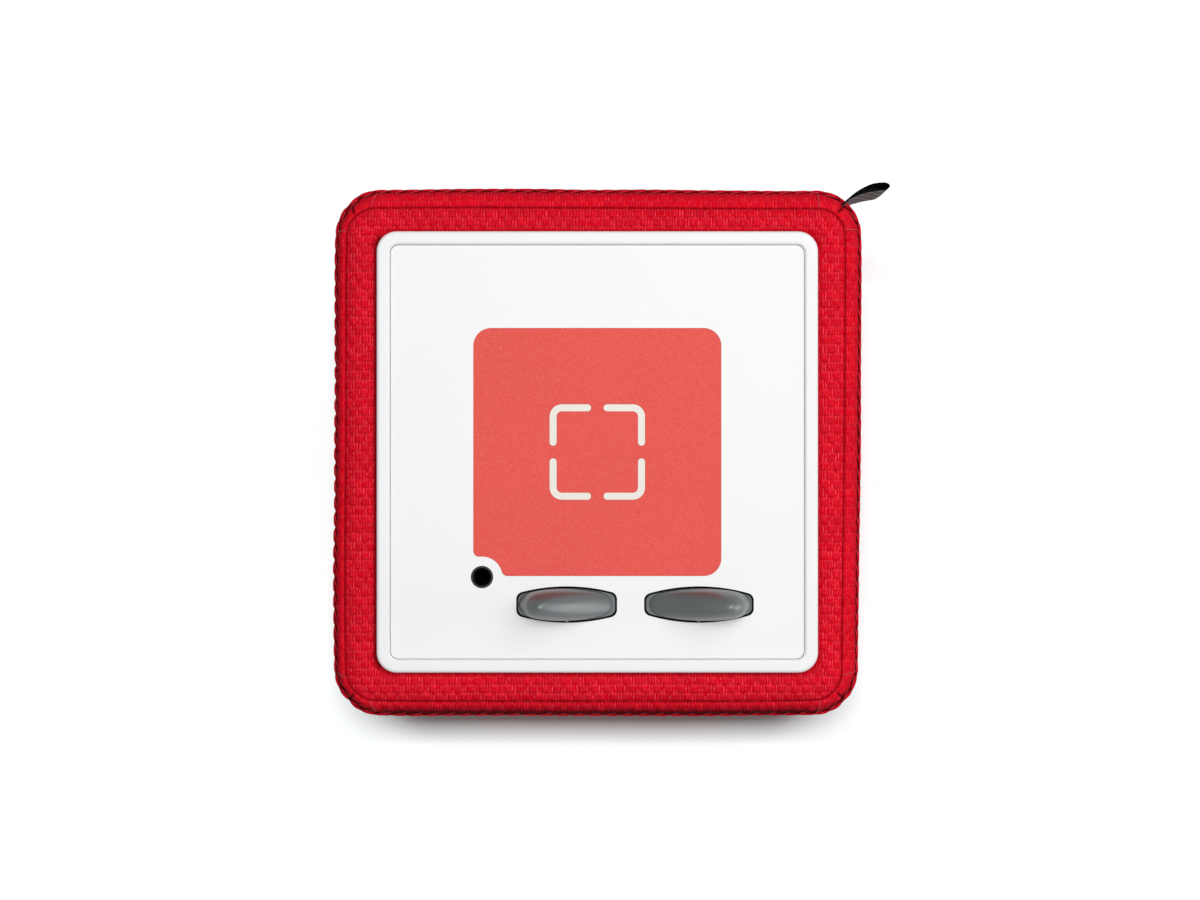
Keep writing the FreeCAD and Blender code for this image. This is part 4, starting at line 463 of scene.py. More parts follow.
# loose fibre ends of 0.1 mm scatter light; the fuzz is drawn at 0.4 mm so that they show
pattern = {"across": thread_axes["X"], "along": thread_axes["Y"],
           "streak": add(tree, "ShaderNodeTexNoise", {"Vector": stretch, "Scale": 1.0, "Roughness": 0.6}),
           "fluff": add(tree, "ShaderNodeTexNoise", {"Vector": place, "Scale": 5200.0}),
           "fuzz": add(tree, "ShaderNodeTexNoise", {"Vector": place, "Scale": 2500.0, "Detail": 3.0})}
for label in ("painted_shade", "yarn", "slack"):
    pattern[label] = add(tree, "ShaderNodeAttribute", attribute_name=label).outputs["Fac"]
# each line works out one part of the pattern from the ones above it
weave_sums = (
    ("rows", "MULTIPLY", "along", 1000 / row_step),
    ("row", "FLOOR", "rows"),
    ("lie", "SUBTRACT", "rows", "row"),
    ("spot", "MULTIPLY", "across", 1000 / brick_step),
    ("spot", "MULTIPLY_ADD", "row", 0.5, "spot"),
    ("spot", "FRACT", "spot"),
    ("in_gap", "SMOOTHSTEP", "spot", brick_share - 0.02, brick_share + 0.04),
    ("on_brick", "SUBTRACT", 1.0, "in_gap"),
    # two upright ribs in each gap, 0.65 mm apart, and fainter ones over the bricks
    ("rib", "SUBTRACT", "spot", brick_share),
    ("rib", "MULTIPLY", "rib", 2 * math.pi * 2 / (1 - brick_share)),
    ("rib", "COSINE", "rib"),
    ("rib", "MULTIPLY_ADD", "rib", -0.5, 0.5),
    # painted shadow: a dark line under each row of bricks, fainter in the gaps
    ("under", "SMOOTHSTEP", "lie", 0.17, 0.03),
    ("under_depth", "MULTIPLY_ADD", "in_gap", -0.32, 0.48),
    ("under", "MULTIPLY", "under", "under_depth"),
    # painted shade: thin dark furrows beside each brick and between the ribs
    ("flank", "SUBTRACT", "spot", brick_share / 2),
    ("flank", "ABSOLUTE", "flank"),
    ("flank", "SUBTRACT", "flank", brick_share / 2),
    ("flank", "ABSOLUTE", "flank"),
    ("flank", "SMOOTHSTEP", "flank", 0.05, 0.01, 0.0, 0.32),
    ("furrow", "SUBTRACT", 1.0, "rib"),
    ("furrow", "MULTIPLY", "furrow", "in_gap"),
    ("furrow", "MULTIPLY", "furrow", 0.3),
    # cloth pulled flat shows its pattern less
    ("marked", "MULTIPLY_ADD", "slack", 0.6, 0.4),
    ("painted_weave_shade", "MAXIMUM", "under", "flank"),
    ("painted_weave_shade", "MAXIMUM", "painted_weave_shade", "furrow"),
    ("painted_weave_shade", "MULTIPLY", "painted_weave_shade", "marked"),
    # painted highlight along the top edge of each brick
    ("crest", "SMOOTHSTEP", "lie", 0.62, 0.88, 0.0, 0.2),
    ("crest", "MULTIPLY", "crest", "on_brick"),
    # painted highlights on the ribs, in streaks, most in the gaps
    ("painted_weave_highlight", "LINEAR", "streak", 0.42, 0.62),
    ("ribbed", "MULTIPLY", "rib", "rib"),
    ("painted_weave_highlight", "MULTIPLY", "painted_weave_highlight", "ribbed"),
    ("pale_share", "MULTIPLY_ADD", "in_gap", 0.6, 0.4),
    ("painted_weave_highlight", "MULTIPLY", "painted_weave_highlight", "pale_share"),
    ("painted_weave_highlight", "MAXIMUM", "painted_weave_highlight", "crest"),
    ("painted_weave_highlight", "MULTIPLY", "painted_weave_highlight", "marked"),
    # each brick and each tuft of fibres has its own brightness
    ("bright", "LINEAR", "yarn", 0.0, 1.0, 0.92, 1.06),
    ("fuzz", "LINEAR", "fuzz", 0.35, 0.65, 0.87, 1.13),
    ("bright", "MULTIPLY", "bright", "fuzz"))
for label, step, *given in weave_sums:
    sources = {k: pattern.get(value, value) for k, value in enumerate(given)}
    if step in ("LINEAR", "SMOOTHSTEP"):
        pattern[label] = add(tree, "ShaderNodeMapRange", sources, interpolation_type=step)
    else:
        pattern[label] = add(tree, "ShaderNodeMath", sources, operation=step)
# the gaps' red, then painted highlights, painted weave shade and the deeper painted shade of creases and seams
colour = "#d50722"
for label, code in (("in_gap", "#de0219"), ("painted_weave_highlight", "#fb4f60"), ("painted_weave_shade", "#84020f"), ("painted_shade", "#4a0208")):
    colour = add(tree, "ShaderNodeMix", {0: pattern[label], 6: colour, 7: code}, data_type="RGBA")
colour = add(tree, "ShaderNodeHueSaturation", {"Color": colour, "Value": pattern["bright"]})
nap = {}
for label, strength, depth in (("rib", 0.35, 0.00010), ("streak", 0.4, 0.00010), ("fluff", 0.2, 0.00006)):
    nap["Normal"] = add(tree, "ShaderNodeBump", {"Height": pattern[label], "Strength": strength,
                                                 "Distance": depth, **nap})
feed(shader, {"Base Color": colour, "Roughness": 0.82, "Specular IOR Level": 0.04, "Sheen Weight": 0.05,
              "Sheen Roughness": 0.5, "Sheen Tint": "#ff3040", **nap})


def scallop(side, share):
    """How deep each stitch pulls the seam in, in mm: least at the right and back."""
    return np.interp((side + share) % 4, [0, 0.5, 1, 1.5, 2, 2.5, 3, 3.3, 3.7, 4],
                     [0.1, 0.2, 0.1, 0.08, 0.08, 0.1, 0.1, 0.4, 0.4, 0.1])


def stitch_pinch(side, run):
    """1 where a stitch holds the seam, 0 halfway between two."""
    return (0.5 + 0.5 * np.cos(2 * math.pi * (side * side_run + run) / seam_pitch)) ** 3


def slip(side, share):
    """How far the hand-fitted cover stands off its true outline, in mm, along one side."""
    marks = [0, 0.1, 0.25, 0.5, 0.75, 0.9, 1, 1.1, 1.25, 1.5, 1.75, 1.9, 2, 2.1, 2.25, 2.5, 2.75, 2.88, 3,
             3.1, 3.3, 3.5, 3.75, 3.9, 4]
    stand = [-0.5, 0, 0.05, 0.1, 0.1, -0.1, -0.6, -0.7, -0.45, -0.1, 0.1, 0.2, -0.2, -0.65, -0.5, -0.3, -0.15,
             -0.25, -0.6, -0.2, -0.15, -0.1, 0.15, 0.0, -0.5]
    where = side + share
    return sum(np.interp((where + shift) % 4, marks, stand) for shift in (-0.05, -0.025, 0, 0.025, 0.05)) / 5


def upright_map(y):
    """The lid's weave runs a tenth closer on the front border."""
    return np.where(y < -opening, y * 1.1 + 0.1 * opening, y)


# the lid: from under the bezel over the padded border to the crease, then
# round the band and into the seam
marks = columns(30, 350)[None, :]
run = seam_run(marks)
from_corner = np.minimum(run, side_run - run)
joint, notch = bell(from_corner, 0.42), bell(from_corner - tack_run, 0.22)
flat_rows, band_rows = 34, 24
reach = 1 - (1 - np.linspace(0, 1, flat_rows, endpoint=False)[:, None]) ** 1.25
bend = np.radians(165 * np.linspace(0, 1, band_rows) ** 1.35)[:, None]
start_level = lid_level - 0.35              # of the band
band_drop = start_level - seam_level
over = np.where(bend < math.pi / 2, np.sin(bend), 1)
under = np.where(bend < math.pi / 2, 0, 1 - np.sin(bend)) * 0.9
turn = corner_turn(marks)
lid = []
for side in range(4):
    own = crease[side]
    stand = slip(side, run / side_run)
    pinch = stitch_pinch(side, run)
    # padded border: its crown, the dip beside the bezel, the sharp crease, the
    # fall towards it, and slow ripples
    x, y = lid_place(side, marks, lambda out: opening + reach * (out - opening) + reach ** 3 * stand,
                     opening_round + reach * (crease_round - opening_round))
    from_bezel = reach * (own - opening)
    to_crease = own - opening - from_bezel
    z = (lid_level + 0.9 * np.sin(math.pi * reach ** 0.9) - 0.5 * np.exp(-(from_bezel - 1.2) ** 2 / 0.8)
         - 0.40 * bell(to_crease, 0.25) - 0.35 * smooth(-to_crease, -2.5, 0) + 0.10 * drift(x, y, 9.0, 5))
    # painted shade: the bezel's shadow on the border, strongest on the left; it joins a painted dark line in the
    # crease
    shade = (0.35, 0.25, 0.2, 0.8)[side] * smooth(-from_bezel, -2.9, -1.3)
    border = (np.stack([x, y, z], axis=2), x, upright_map(y),
              smooth(from_bezel, 0.8, 3.0) * smooth(to_crease, -0.2, 1.2) * 0.85 + 0.15 + 0 * x,
              0.65 * bell(to_crease, 0.22) + shade + 0 * x)
    # band: drawn down into the crease, full in the middle, and sunk where the
    # corner seams and the tacks hold it
    edge = seam_out - 0.42 + 0.2 * pinch * over
    x, y = lid_place(side, marks, lambda out: out + over * (edge - out) - under + stand,
                     crease_round + (seam_round - crease_round) * over - 0.5 * under)
    drop = np.where(bend < math.pi / 2, band_drop * (1 - np.cos(bend)), band_drop - 0.8 * np.cos(bend))
    quarter = math.pi / 2 * math.sqrt(((seam_out - own) ** 2 + band_drop ** 2) / 2)
    travel = quarter * bend / (math.pi / 2)
    z = (start_level - drop - 0.40 * bell(travel, 0.25)
         + 0.3 * np.clip(np.sin(2 * np.minimum(bend, math.pi / 2)), 0, 1)
         - (0.6 * joint + 0.3 * notch) * smooth(bend, 0.1, 0.4))
    east, north = facing(side, np.sin(turn), np.cos(turn))
    start_x, start_y = lid_place(side, marks, lambda out: out + stand, crease_round)
    shade = (0.95, 0.0, 0.0, 0.1)[side] * smooth(bend, 0.2, 1.35) + (0.15, 0, 0, 0)[side]
    # painted shade: dark in the crease, under the seam, at each stitch, over the
    # front band turned from the light, and at the corners and tacks
    painted_shade = (0.65 * bell(travel, 0.22) + (1.0, 0.7, 0.55, 1.0)[side] * smooth(bend, 1.45, 1.9)
            + 0.8 * pinch ** 2 * smooth(bend, 1.1, 1.5) + shade * smooth(from_corner, 2, 14)
            + (0.9 * joint + 0.6 * notch) * smooth(bend, 0.1, 0.4))
    band = (np.stack([x, y, z], axis=2),
            start_x + east * travel + (1 - np.abs(east)) * (x - start_x),
            upright_map(start_y) + north * travel + (1 - np.abs(north)) * (y - start_y),
            (0.6, 0.4, 0.35, 0.2)[side] * (1 - 0.7 * joint) * smooth(-bend, -2.2, -1.2) + 0 * x,
            np.clip(painted_shade, 0, 1) + 0 * x)
    lid.append([np.concatenate(pair, axis=0) for pair in zip(border, band)])
lid_panel = woven_panel("lid_textile", *(np.concatenate(sides, axis=1) for sides in zip(*lid)), closed=True)
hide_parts("top_fabric")

# the four sides: a thin rolled edge at the lid seam, a slightly crowned face,
# seams that pull in at the corners, and a rolled hem. The back one has the
# window of the service plate, whose flange presses the cloth flat.
lip_levels = [116.9, 116.5, 116.5, 116.8, 117.2, 117.5, 117.65, 117.6, 117.4, 117.05, 116.6]
lip_out = [-1.0, -0.7, -0.45, -0.2, 0.0, 0.14, 0.28, 0.44, 0.55, 0.62, 0.6]
# painted shade on each row of the rolled edge, deepest down in the seam's valley
lip_painted_shade = [1, 1, 1, 1, 0.9, 0.5, 0.15, 0, 0, 0, 0]
lip_rows = len(lip_levels)
plate_level, flange_half, pressed_out = 22.0, (30.5, 14.5), 62.15
window_half, window_round = (18.6, 4.6), 5.0
side_marks = np.append(columns(22, 256), 3.0)[None, :]
run = seam_run(side_marks)
from_corner = np.minimum(run, side_run - run)
share = run / side_run
level = np.concatenate([lip_levels, np.linspace(116.2, 7.5, 252), np.linspace(7.1, 5.4, 6)])[:, None]
side_out = np.concatenate([lip_out, np.interp(level[lip_rows:, 0], [5.4, 6.2, 7.5, 10, 111, 114, 116.2],
                                              [-0.9, -0.2, 0.1, 0.0, 0.0, 0.25, 0.56])])[:, None]
height = (level - hem_level) / (seam_level - hem_level)
crown = 0.8 * np.clip(np.sin(math.pi * share), 0, 1) ** 0.7 * np.clip(np.sin(math.pi * height), 0, 1) ** 0.7
# drawn in at the corner seams, with a soft roll beside each
pull = (0.7 * bell(from_corner, 0.9, 1.6) - 0.25 * bell(from_corner - 2.6, 1.4)) * (
    1 - 0.85 * smooth(level, 106, 115))


def in_window(middle):
    """Which face middles, in mm, lie in the service plate's window."""
    return np.hypot(np.maximum(np.abs(middle[:, 0]) - window_half[0], 0),
                    np.maximum(np.abs(middle[:, 2] - plate_level) - window_half[1], 0)) < window_round


for side, name in enumerate(("front", "right", "back", "left")):
    pinch = stitch_pinch(side, run)
    ripple = 0.14 * drift(run + 200 * side, level, 14.0, 2) * smooth(level, 6, 12) * smooth(from_corner, 0, 4)
    gather = scallop(side, share) * pinch * (smooth(level, 113.5, 116.5) + smooth(-level, -9.0, -6.5))
    out = (seam_out - 0.1 + side_out + crown - pull + ripple - gather
           + slip(side, share) * (0.4 + 0.6 * height))
    fade = (0.15 + 0.85 * smooth(from_corner, 0.6, 2.0)) * (0.1 + 0.9 * smooth(-level, -116.0, -113.0)) * (
        0.3 + 0.7 * smooth(level, 6.5, 9.0))
    if name == "back":
        pressed = smooth(flange_half[0] - np.abs(run - side_run / 2), 0, 3.5) * smooth(
            flange_half[1] - np.abs(level - plate_level), 0, 3.5)
        out = out * (1 - pressed) + pressed_out * pressed
        fade = fade * (1 - 0.6 * pressed)
    x, y = ring_place(side, side_marks, out, out, out, seam_round - 0.3)
    # painted shade: deepest in the rolled edge's valley at the lid seam and less on the right and back, which face
    # the light; also between stitches, at the corner seams and along the hem
    painted_shade = np.zeros_like(out)
    painted_shade[:lip_rows] = np.array(lip_painted_shade)[:, None] * (1, 0.8, 0.6, 1)[side]
    painted_shade[:lip_rows] += 0.7 * pinch ** 2 * (level[:lip_rows] > 117.3)
    painted_shade = np.clip(painted_shade + 0.6 * bell(from_corner, 0.5) + 0.5 * smooth(-level, -6.4, -5.6), 0, 1)
    panel = woven_panel(name + "_textile", np.stack([x, y, level + 0 * x], axis=2),
                        run - side_run / 2 + 0 * level, level + 0 * run, fade, painted_shade, closed=False,
                        window=in_window if name == "back" else None)
    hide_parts(name + "_fabric")

# the underside: turned in from the hem and clamped by the floor plate
under_marks = columns(10, 90)[None, :]
turn_in = np.linspace(0, 1, 34)[:, None]
bends = [0, 0.05, 0.12, 0.2, 0.3, 0.42, 1]
profile_out = np.interp(turn_in, bends, [61.9, 62.3, 62.35, 61.9, 60.6, 58.6, 50.6])
profile_z = np.interp(turn_in, bends, [4.9, 4.8, 4.2, 3.3, 2.6, 2.3, 2.3])
radius = np.clip(seam_round - (62.3 - profile_out), 3.0, seam_round)
underside = []
for side in range(4):
    x, y = ring_place(side, under_marks, profile_out, profile_out, profile_out, radius)
    # painted shade where the cloth turns in at the hem
    underside.append((np.stack([x, y, profile_z + 0 * x], axis=2), x, y,
                      0.45 * smooth(turn_in, 0.0, 0.2) + 0 * x, 0.6 * smooth(-turn_in, -0.06, 0.0) + 0 * x))
under_panel = woven_panel("underside_textile", *(np.concatenate(sides, axis=1) for sides in zip(*underside)),
                          closed=True)
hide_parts("bottom_fabric")

# ------------ seam stitches
# The panels are joined by hand-like running stitches of bonded polyester
# thread, about 3.9 mm apart. Each stitch bridges a little lens-shaped gap, and
# the lid's corners are tacked down by a crossing thread on either side.
# bonded thread: same red, a touch paler and glossier than the cloth, with
# plies of about 0.4 mm
thread_finish, tree, shader, place = new_finish("bonded_polyester_thread")
plies = add(tree, "ShaderNodeTexNoise", {"Vector": place, "Scale": 2600.0})
formed_by(plies, tree, shader, "#b81828", "#dc4a56", 0.6, 0.4, 0.08, 0.08)


def node_group(name, inputs):
    """Geometry node tree with named inputs, and its two end nodes."""
    tree = bpy.data.node_groups.new(name, "GeometryNodeTree")
    tree.interface.new_socket("Geometry", in_out="OUTPUT", socket_type="NodeSocketGeometry")
    for label, kind in [("Path", "Geometry")] + inputs + [("Thread radius", "Float"), ("Thread", "Material")]:
        tree.interface.new_socket(label, in_out="INPUT", socket_type="NodeSocket" + kind)
    return tree, tree.nodes.new("NodeGroupInput").outputs, tree.nodes.new("NodeGroupOutput")


def follow(name, paths, group, settings):
    """Plain mesh that a node tree makes along paths: lists of points in mm, with their lift."""
    points, edges, lifts = [], [], []
    for path, lift, closed in paths:
        first = len(points)
        points += (np.asarray(path) / 1000).tolist()
        lifts += np.asarray(lift).tolist()
        edges += [(first + k, first + k + 1) for k in range(len(path) - 1)]
        if closed:
            edges.append((len(points) - 1, first))
    line = bpy.data.meshes.new(name)
    line.from_pydata(points, edges, [])
    line.attributes.new("lift", "FLOAT_VECTOR", "POINT").data.foreach_set(
        "vector", np.asarray(lifts, dtype=np.float32).reshape(-1))
    made = put(name, line)
    step = made.modifiers.new("follow", "NODES")
    step.node_group = group
    for socket in group.interface.items_tree:
        if socket.in_out == "INPUT" and socket.name in settings:
            step[socket.identifier] = settings[socket.name]
    made.data = plain_mesh(made)
    made.data.shade_smooth()
    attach(made, "player")


def thread_along(tree, given, curve, sides):
    """Round thread along a curve."""
    strand = add(tree, "GeometryNodeCurvePrimitiveCircle", {"Resolution": sides, "Radius": given["Thread radius"]})
    return add(tree, "GeometryNodeCurveToMesh", {"Curve": curve, "Profile Curve": strand, "Fill Caps": True})


def hand_out(tree, given, result, threads):
    """Ends a node tree with its threads as plain meshes in their finish."""
    solid = add(tree, "GeometryNodeRealizeInstances", {"Geometry": threads})
    coloured = add(tree, "GeometryNodeSetMaterial", {"Geometry": solid, "Material": given["Thread"]})
    feed(result, {"Geometry": coloured})


# one stitch is an arch of thread that starts and ends below the cloth, laid a
# little askew along the seam
tree, given, result = node_group("running_stitch", [
    ("Stitch spacing", "Float"), ("Stitch length", "Float"), ("Slant", "Float"), ("Rise", "Float")])
back, half, outward, sink = (
    add(tree, "ShaderNodeMath", {0: given[label], 1: factor}, operation="MULTIPLY")
    for label, factor in (("Stitch length", -0.5), ("Stitch length", 0.5), ("Slant", -1.0), ("Rise", -0.9)))
start = add(tree, "ShaderNodeCombineXYZ", {"X": back, "Y": outward, "Z": sink})
crest = add(tree, "ShaderNodeCombineXYZ", {"Z": given["Rise"]})
end = add(tree, "ShaderNodeCombineXYZ", {"X": half, "Y": given["Slant"], "Z": sink})
arch = add(tree, "GeometryNodeCurveQuadraticBezier", {"Resolution": 6, "Start": start, "Middle": crest, "End": end})
seam_line = add(tree, "GeometryNodeMeshToCurve", {"Mesh": given["Path"]})
spots = add(tree, "GeometryNodeResampleCurve", {"Curve": seam_line, "Length": given["Stitch spacing"]}, mode="LENGTH")
tangent = add(tree, "GeometryNodeInputTangent")
lift = add(tree, "GeometryNodeInputNamedAttribute", {"Name": "lift"}, data_type="FLOAT_VECTOR")
aimed = add(tree, "FunctionNodeAlignRotationToVector", {"Vector": tangent}, axis="X")
aimed = add(tree, "FunctionNodeAlignRotationToVector", {"Rotation": aimed, "Vector": lift}, axis="Z", pivot_axis="X")
row = add(tree, "GeometryNodeInstanceOnPoints", {
    "Points": spots, "Instance": thread_along(tree, given, arch, 5), "Rotation": aimed})
hand_out(tree, given, result, row)


def seam_column(run):
    """Column at a distance along the seam."""
    return np.interp(run, [0, seam_corner, side_run - seam_corner, side_run], [0, 1, 2, 3])


def seam_ring(out, z, up):
    """Closed path along a cover seam, half a stitch on, with its lift direction."""
    run = (np.arange(1000) / 1000 * 4 * side_run + seam_pitch / 2) % (4 * side_run)
    side, run = np.floor(run / side_run).astype(int), run % side_run
    column = seam_column(run)
    turn = corner_turn(column) + side * math.pi / 2
    path = np.array([ring_place(k, c, *[out + slip(k, r / side_run)] * 3, seam_round) + (z,)
                     for k, c, r in zip(side, column, run)])
    return path, np.stack([np.sin(turn), -np.cos(turn), up + 0 * turn], axis=1), True


# the lid's seam, the hem's, and four up the corners; the tag shortens one
paths = [seam_ring(seam_out - 0.02, 117.6, 1.0), seam_ring(seam_out - 0.15, 5.1, -0.6)]
corner_out = seam_out - seam_round + seam_round * math.sqrt(0.5) - 0.35
for east, north, top in ((1, -1, 115.5), (1, 1, 111.0), (-1, 1, 115.5), (-1, -1, 115.5)):
    path = [(east * corner_out, north * corner_out, z) for z in np.linspace(8.0, top, 40)]
    paths.append((path, [(east, north, 0)] * len(path), False))
follow("seam_stitches", paths, tree, {
    "Stitch spacing": seam_pitch / 1000, "Stitch length": 0.0031, "Slant": 0.0004, "Rise": 0.00025,
    "Thread radius": 0.00011, "Thread": thread_finish})

# the tacks lie on the band, from the crease down to the seam
tree, given, result = node_group("thread_run", [])
line = add(tree, "GeometryNodeMeshToCurve", {"Mesh": given["Path"]})
hand_out(tree, given, result, thread_along(tree, given, line, 6))
bend = np.radians(np.linspace(5, 102, 12))
push = np.sin(np.minimum(bend, math.pi / 2))
z = start_level - band_drop * (1 - np.cos(bend)) + 0.08 + 0.3 * np.clip(np.sin(2 * bend), 0, 1)
tacks = []
for side in range(4):
    for run in (tack_run, side_run - tack_run):
        edge, stand = seam_out - 0.3, slip(side, run / side_run)
        x, y = lid_place(side, seam_column(run), lambda out: out + (edge - out) * push + stand,
                         crease_round + (seam_round - crease_round) * push)
        tacks.append((np.stack([x, y, z], axis=1), [(0, 0, 1)] * len(z), False))
follow("corner_tacks", tacks, tree, {"Thread radius": 0.00018, "Thread": thread_finish})

# ------------ ribbon tag
# A folded loop of black woven ribbon is caught in the corner seam, for
# hanging or pulling. It stands open a little, leans back, and shows its satin
# black inside and the corded weave of its outside, whose grey is a painted sheen.
# slanting cords with slubs; their grey is a painted sheen on the black ribbon. The
# real ones lie 0.9 mm apart; they are drawn at 1.7 mm so that they show
corded, tree, shader, place = new_finish("corded_ribbon_painted_sheen")
along_ribbon = add(tree, "ShaderNodeUVMap", uv_map="ribbon")
cords = add(tree, "ShaderNodeTexWave", {
    "Vector": along_ribbon, "Scale": 260.0, "Distortion": 2.0, "Detail Scale": 2.0},
    wave_type="BANDS", bands_direction="DIAGONAL").outputs["Fac"]
slubs = add(tree, "ShaderNodeTexNoise", {"Vector": along_ribbon, "Scale": 900.0, "Detail": 3.0})
worn = add(tree, "ShaderNodeMath", {0: cords, 1: slubs}, operation="MULTIPLY")
formed_by(worn, tree, shader, "#4a4a4b", "#a39b98", 0.7, 0.5, 0.15, 0.3)
# satin inside: nearly black, with a straight grain of 0.45 mm
satin, tree, shader, place = new_finish("black_satin_face")
along_ribbon = add(tree, "ShaderNodeUVMap", uv_map="ribbon")
grain = add(tree, "ShaderNodeTexWave", {"Vector": along_ribbon, "Scale": 700.0, "Distortion": 1.0},
            wave_type="BANDS", bands_direction="Y").outputs["Fac"]
tint = add(tree, "ShaderNodeMix", {0: grain, 6: "#020202", 7: "#060606"}, data_type="RGBA")
feed(shader, {"Base Color": tint, "Roughness": 0.7, "Specular IOR Level": 0.03})


def run_along(line):
    """Distance of each point of a line from its start."""
    return np.concatenate([[0], np.cumsum(np.linalg.norm(np.diff(line, axis=0), axis=1))])


def through(corners, count):
    """Smooth line of count points through a list of corners, evenly spaced."""
    corners = np.asarray(corners, dtype=float)
    padded = np.concatenate([2 * corners[:1] - corners[1:2], corners, 2 * corners[-1:] - corners[-2:-1]])
    pieces = []
    for a, b, c, d in zip(padded, padded[1:], padded[2:], padded[3:]):
        s = np.linspace(0, 1, 20, endpoint=False)[:, None]
        pieces.append(0.5 * (2 * b + (c - a) * s + (2 * a - 5 * b + 4 * c - d) * s ** 2
                             + (3 * b - a - 3 * c + d) * s ** 3))
    line = np.concatenate(pieces + [corners[-1:]])
    run = run_along(line)
    even = np.linspace(0, run[-1], count)
    return np.stack([np.interp(even, run, line[:, k]) for k in range(line.shape[1])], axis=1)


# the ribbon's upper and lower selvedge, seen from above: out along the near
# layer, round the open fold and back along the far one
steps, across_steps = 90, 12
tag_thick, tag_width, tag_level, ribbon_width = 0.28, 5.6, 113.2, 0.006
upper = through([
    (58.6, 59.0), (59.7, 60.05), (61.4, 61.2), (63.2, 61.9), (65.3, 62.45), (67.3, 62.75), (68.9, 62.95),
    (69.7, 63.3), (70.05, 63.85), (69.5, 64.35), (68.5, 64.5), (66.3, 64.25), (64.2, 63.45),
    (62.1, 62.2), (59.9, 60.4), (58.6, 59.2)], steps)
lower = through([
    (59.3, 58.6), (61.0, 59.75), (62.6, 60.25), (64.7, 60.75), (66.8, 61.1), (67.8, 61.65), (68.5, 62.15),
    (68.8, 62.5), (68.9, 62.75), (68.6, 63.05), (67.9, 63.1), (66.2, 62.75), (64.3, 62.0),
    (62.2, 61.1), (60.4, 59.95), (59.3, 58.8)], steps)
height = np.linspace(0, 1, across_steps)


def sideways(line):
    """Unit normals of a flat line, to its right."""
    tangent = np.gradient(line, axis=0)
    tangent /= np.linalg.norm(tangent, axis=1, keepdims=True)
    return np.stack([tangent[:, 1], -tangent[:, 0]], axis=1)


def tag_wall(offset):
    """World points over the ribbon's width, offset millimetres to one side of its middle."""
    high, low = upper + sideways(upper) * offset, lower + sideways(lower) * offset
    flat = low[:, None, :] + (high - low)[:, None, :] * height[None, :, None]
    level = tag_level + tag_width * height[None, :, None] + 0 * flat[..., :1]
    return np.concatenate([flat, level], axis=2).reshape(-1, 3) / 1000


points = np.concatenate([tag_wall(tag_thick / 2), tag_wall(-tag_thick / 2)])
number = np.arange(steps * across_steps).reshape(steps, across_steps)
deep = number + steps * across_steps
faces = [grid_faces(number), grid_faces(deep)[:, ::-1]]
outer_faces = len(faces[0])
for edge, order in ((np.s_[:, 0], 1), (np.s_[:, -1], -1), (np.s_[0], -1), (np.s_[-1], 1)):
    faces.append(grid_faces(np.stack([number[edge], deep[edge]]))[:, ::order])
faces = np.concatenate(faces)
tag_mesh = bpy.data.meshes.new("ribbon_tag")
tag_mesh.from_pydata(points.tolist(), [], faces.tolist())
run = run_along(upper)[:, None] / 1000
ribbon_map = np.stack([run + 0 * height[None, :], ribbon_width * height[None, :] + 0 * run], axis=2).reshape(-1, 2)
corner_index = np.empty(len(tag_mesh.loops), dtype=np.int32)
tag_mesh.loops.foreach_get("vertex_index", corner_index)
tag_mesh.uv_layers.new(name="ribbon").data.foreach_set(
    "uv", np.tile(ribbon_map, (2, 1))[corner_index].reshape(-1).astype(np.float32))
tag_mesh.materials.append(corded)
tag_mesh.materials.append(satin)
tag_mesh.polygons.foreach_set("material_index", [int(k >= outer_faces) for k in range(len(faces))])
tag_mesh.shade_smooth()
ribbon_tag = put("ribbon_tag", tag_mesh)
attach(ribbon_tag, "player")
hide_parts("corner_tag")

# ------------ bezel and top panel
# Both are injection-moulded in white ABS. The bezel's raised rim clamps the
# cloth and is screwed down through the pillars; the panel clips inside it and
# leaves a fine shadow gap all round.
# white ABS off a finely sparked tool: satin, very even, a soft highlight on the rim
dress(moulded("sparked_white_abs", "#eeeeee", "#f0f0f0", 0.42, 0.22, 0.012, 0.4), "top_panel", "rear_plate")
# the frame comes from its own tool and is a shade cooler. Light goes a
# millimetre or two into white ABS, so that its rim stays bright
frame_finish = moulded("sparked_cool_white_abs", "#edeeee", "#eff0f0", 0.42, 0.22, 0.012, 0.4)
feed(frame_finish.node_tree.nodes["Principled BSDF"], {
    "Subsurface Weight": 0.6, "Subsurface Radius": (1.0, 1.0, 1.0), "Subsurface Scale": 0.0015})
dress(frame_finish, "bezel_frame")

# ------------ dock plate and mark
# The plate is a coral polycarbonate tile bonded into the panel, and its four
# corner strokes are a second shot of ivory plastic, moulded flush. Figures
# stand here, held by the magnet below.
# coral polycarbonate with fine mineral filler: pale and dark specks of about
# 0.15 mm, drawn at 0.35 mm so that they show, over clouds 17 mm wide
coral, tree, shader, place = new_finish("speckled_coral_polycarbonate")
specks = add(tree, "ShaderNodeTexNoise", {"Vector": place, "Scale": 2900.0, "Roughness": 0.7})
cloud = add(tree, "ShaderNodeTexNoise", {"Vector": place, "Scale": 60.0})
fleck = add(tree, "ShaderNodeMapRange", {0: specks, 1: 0.35, 2: 0.65})
tint = add(tree, "ShaderNodeMix", {0: fleck, 6: "#e14e46", 7: "#ea6057"}, data_type="RGBA")
bright = add(tree, "ShaderNodeMapRange", {0: cloud, 3: 0.97, 4: 1.03})
tint = add(tree, "ShaderNodeHueSaturation", {"Color": tint, "Value": bright})
tooth = add(tree, "ShaderNodeBump", {"Height": specks, "Strength": 0.3, "Distance": 0.00002})
feed(shader, {"Base Color": tint, "Roughness": 0.55, "Specular IOR Level": 0.15, "Normal": tooth})
dress(coral, "dock_plate")
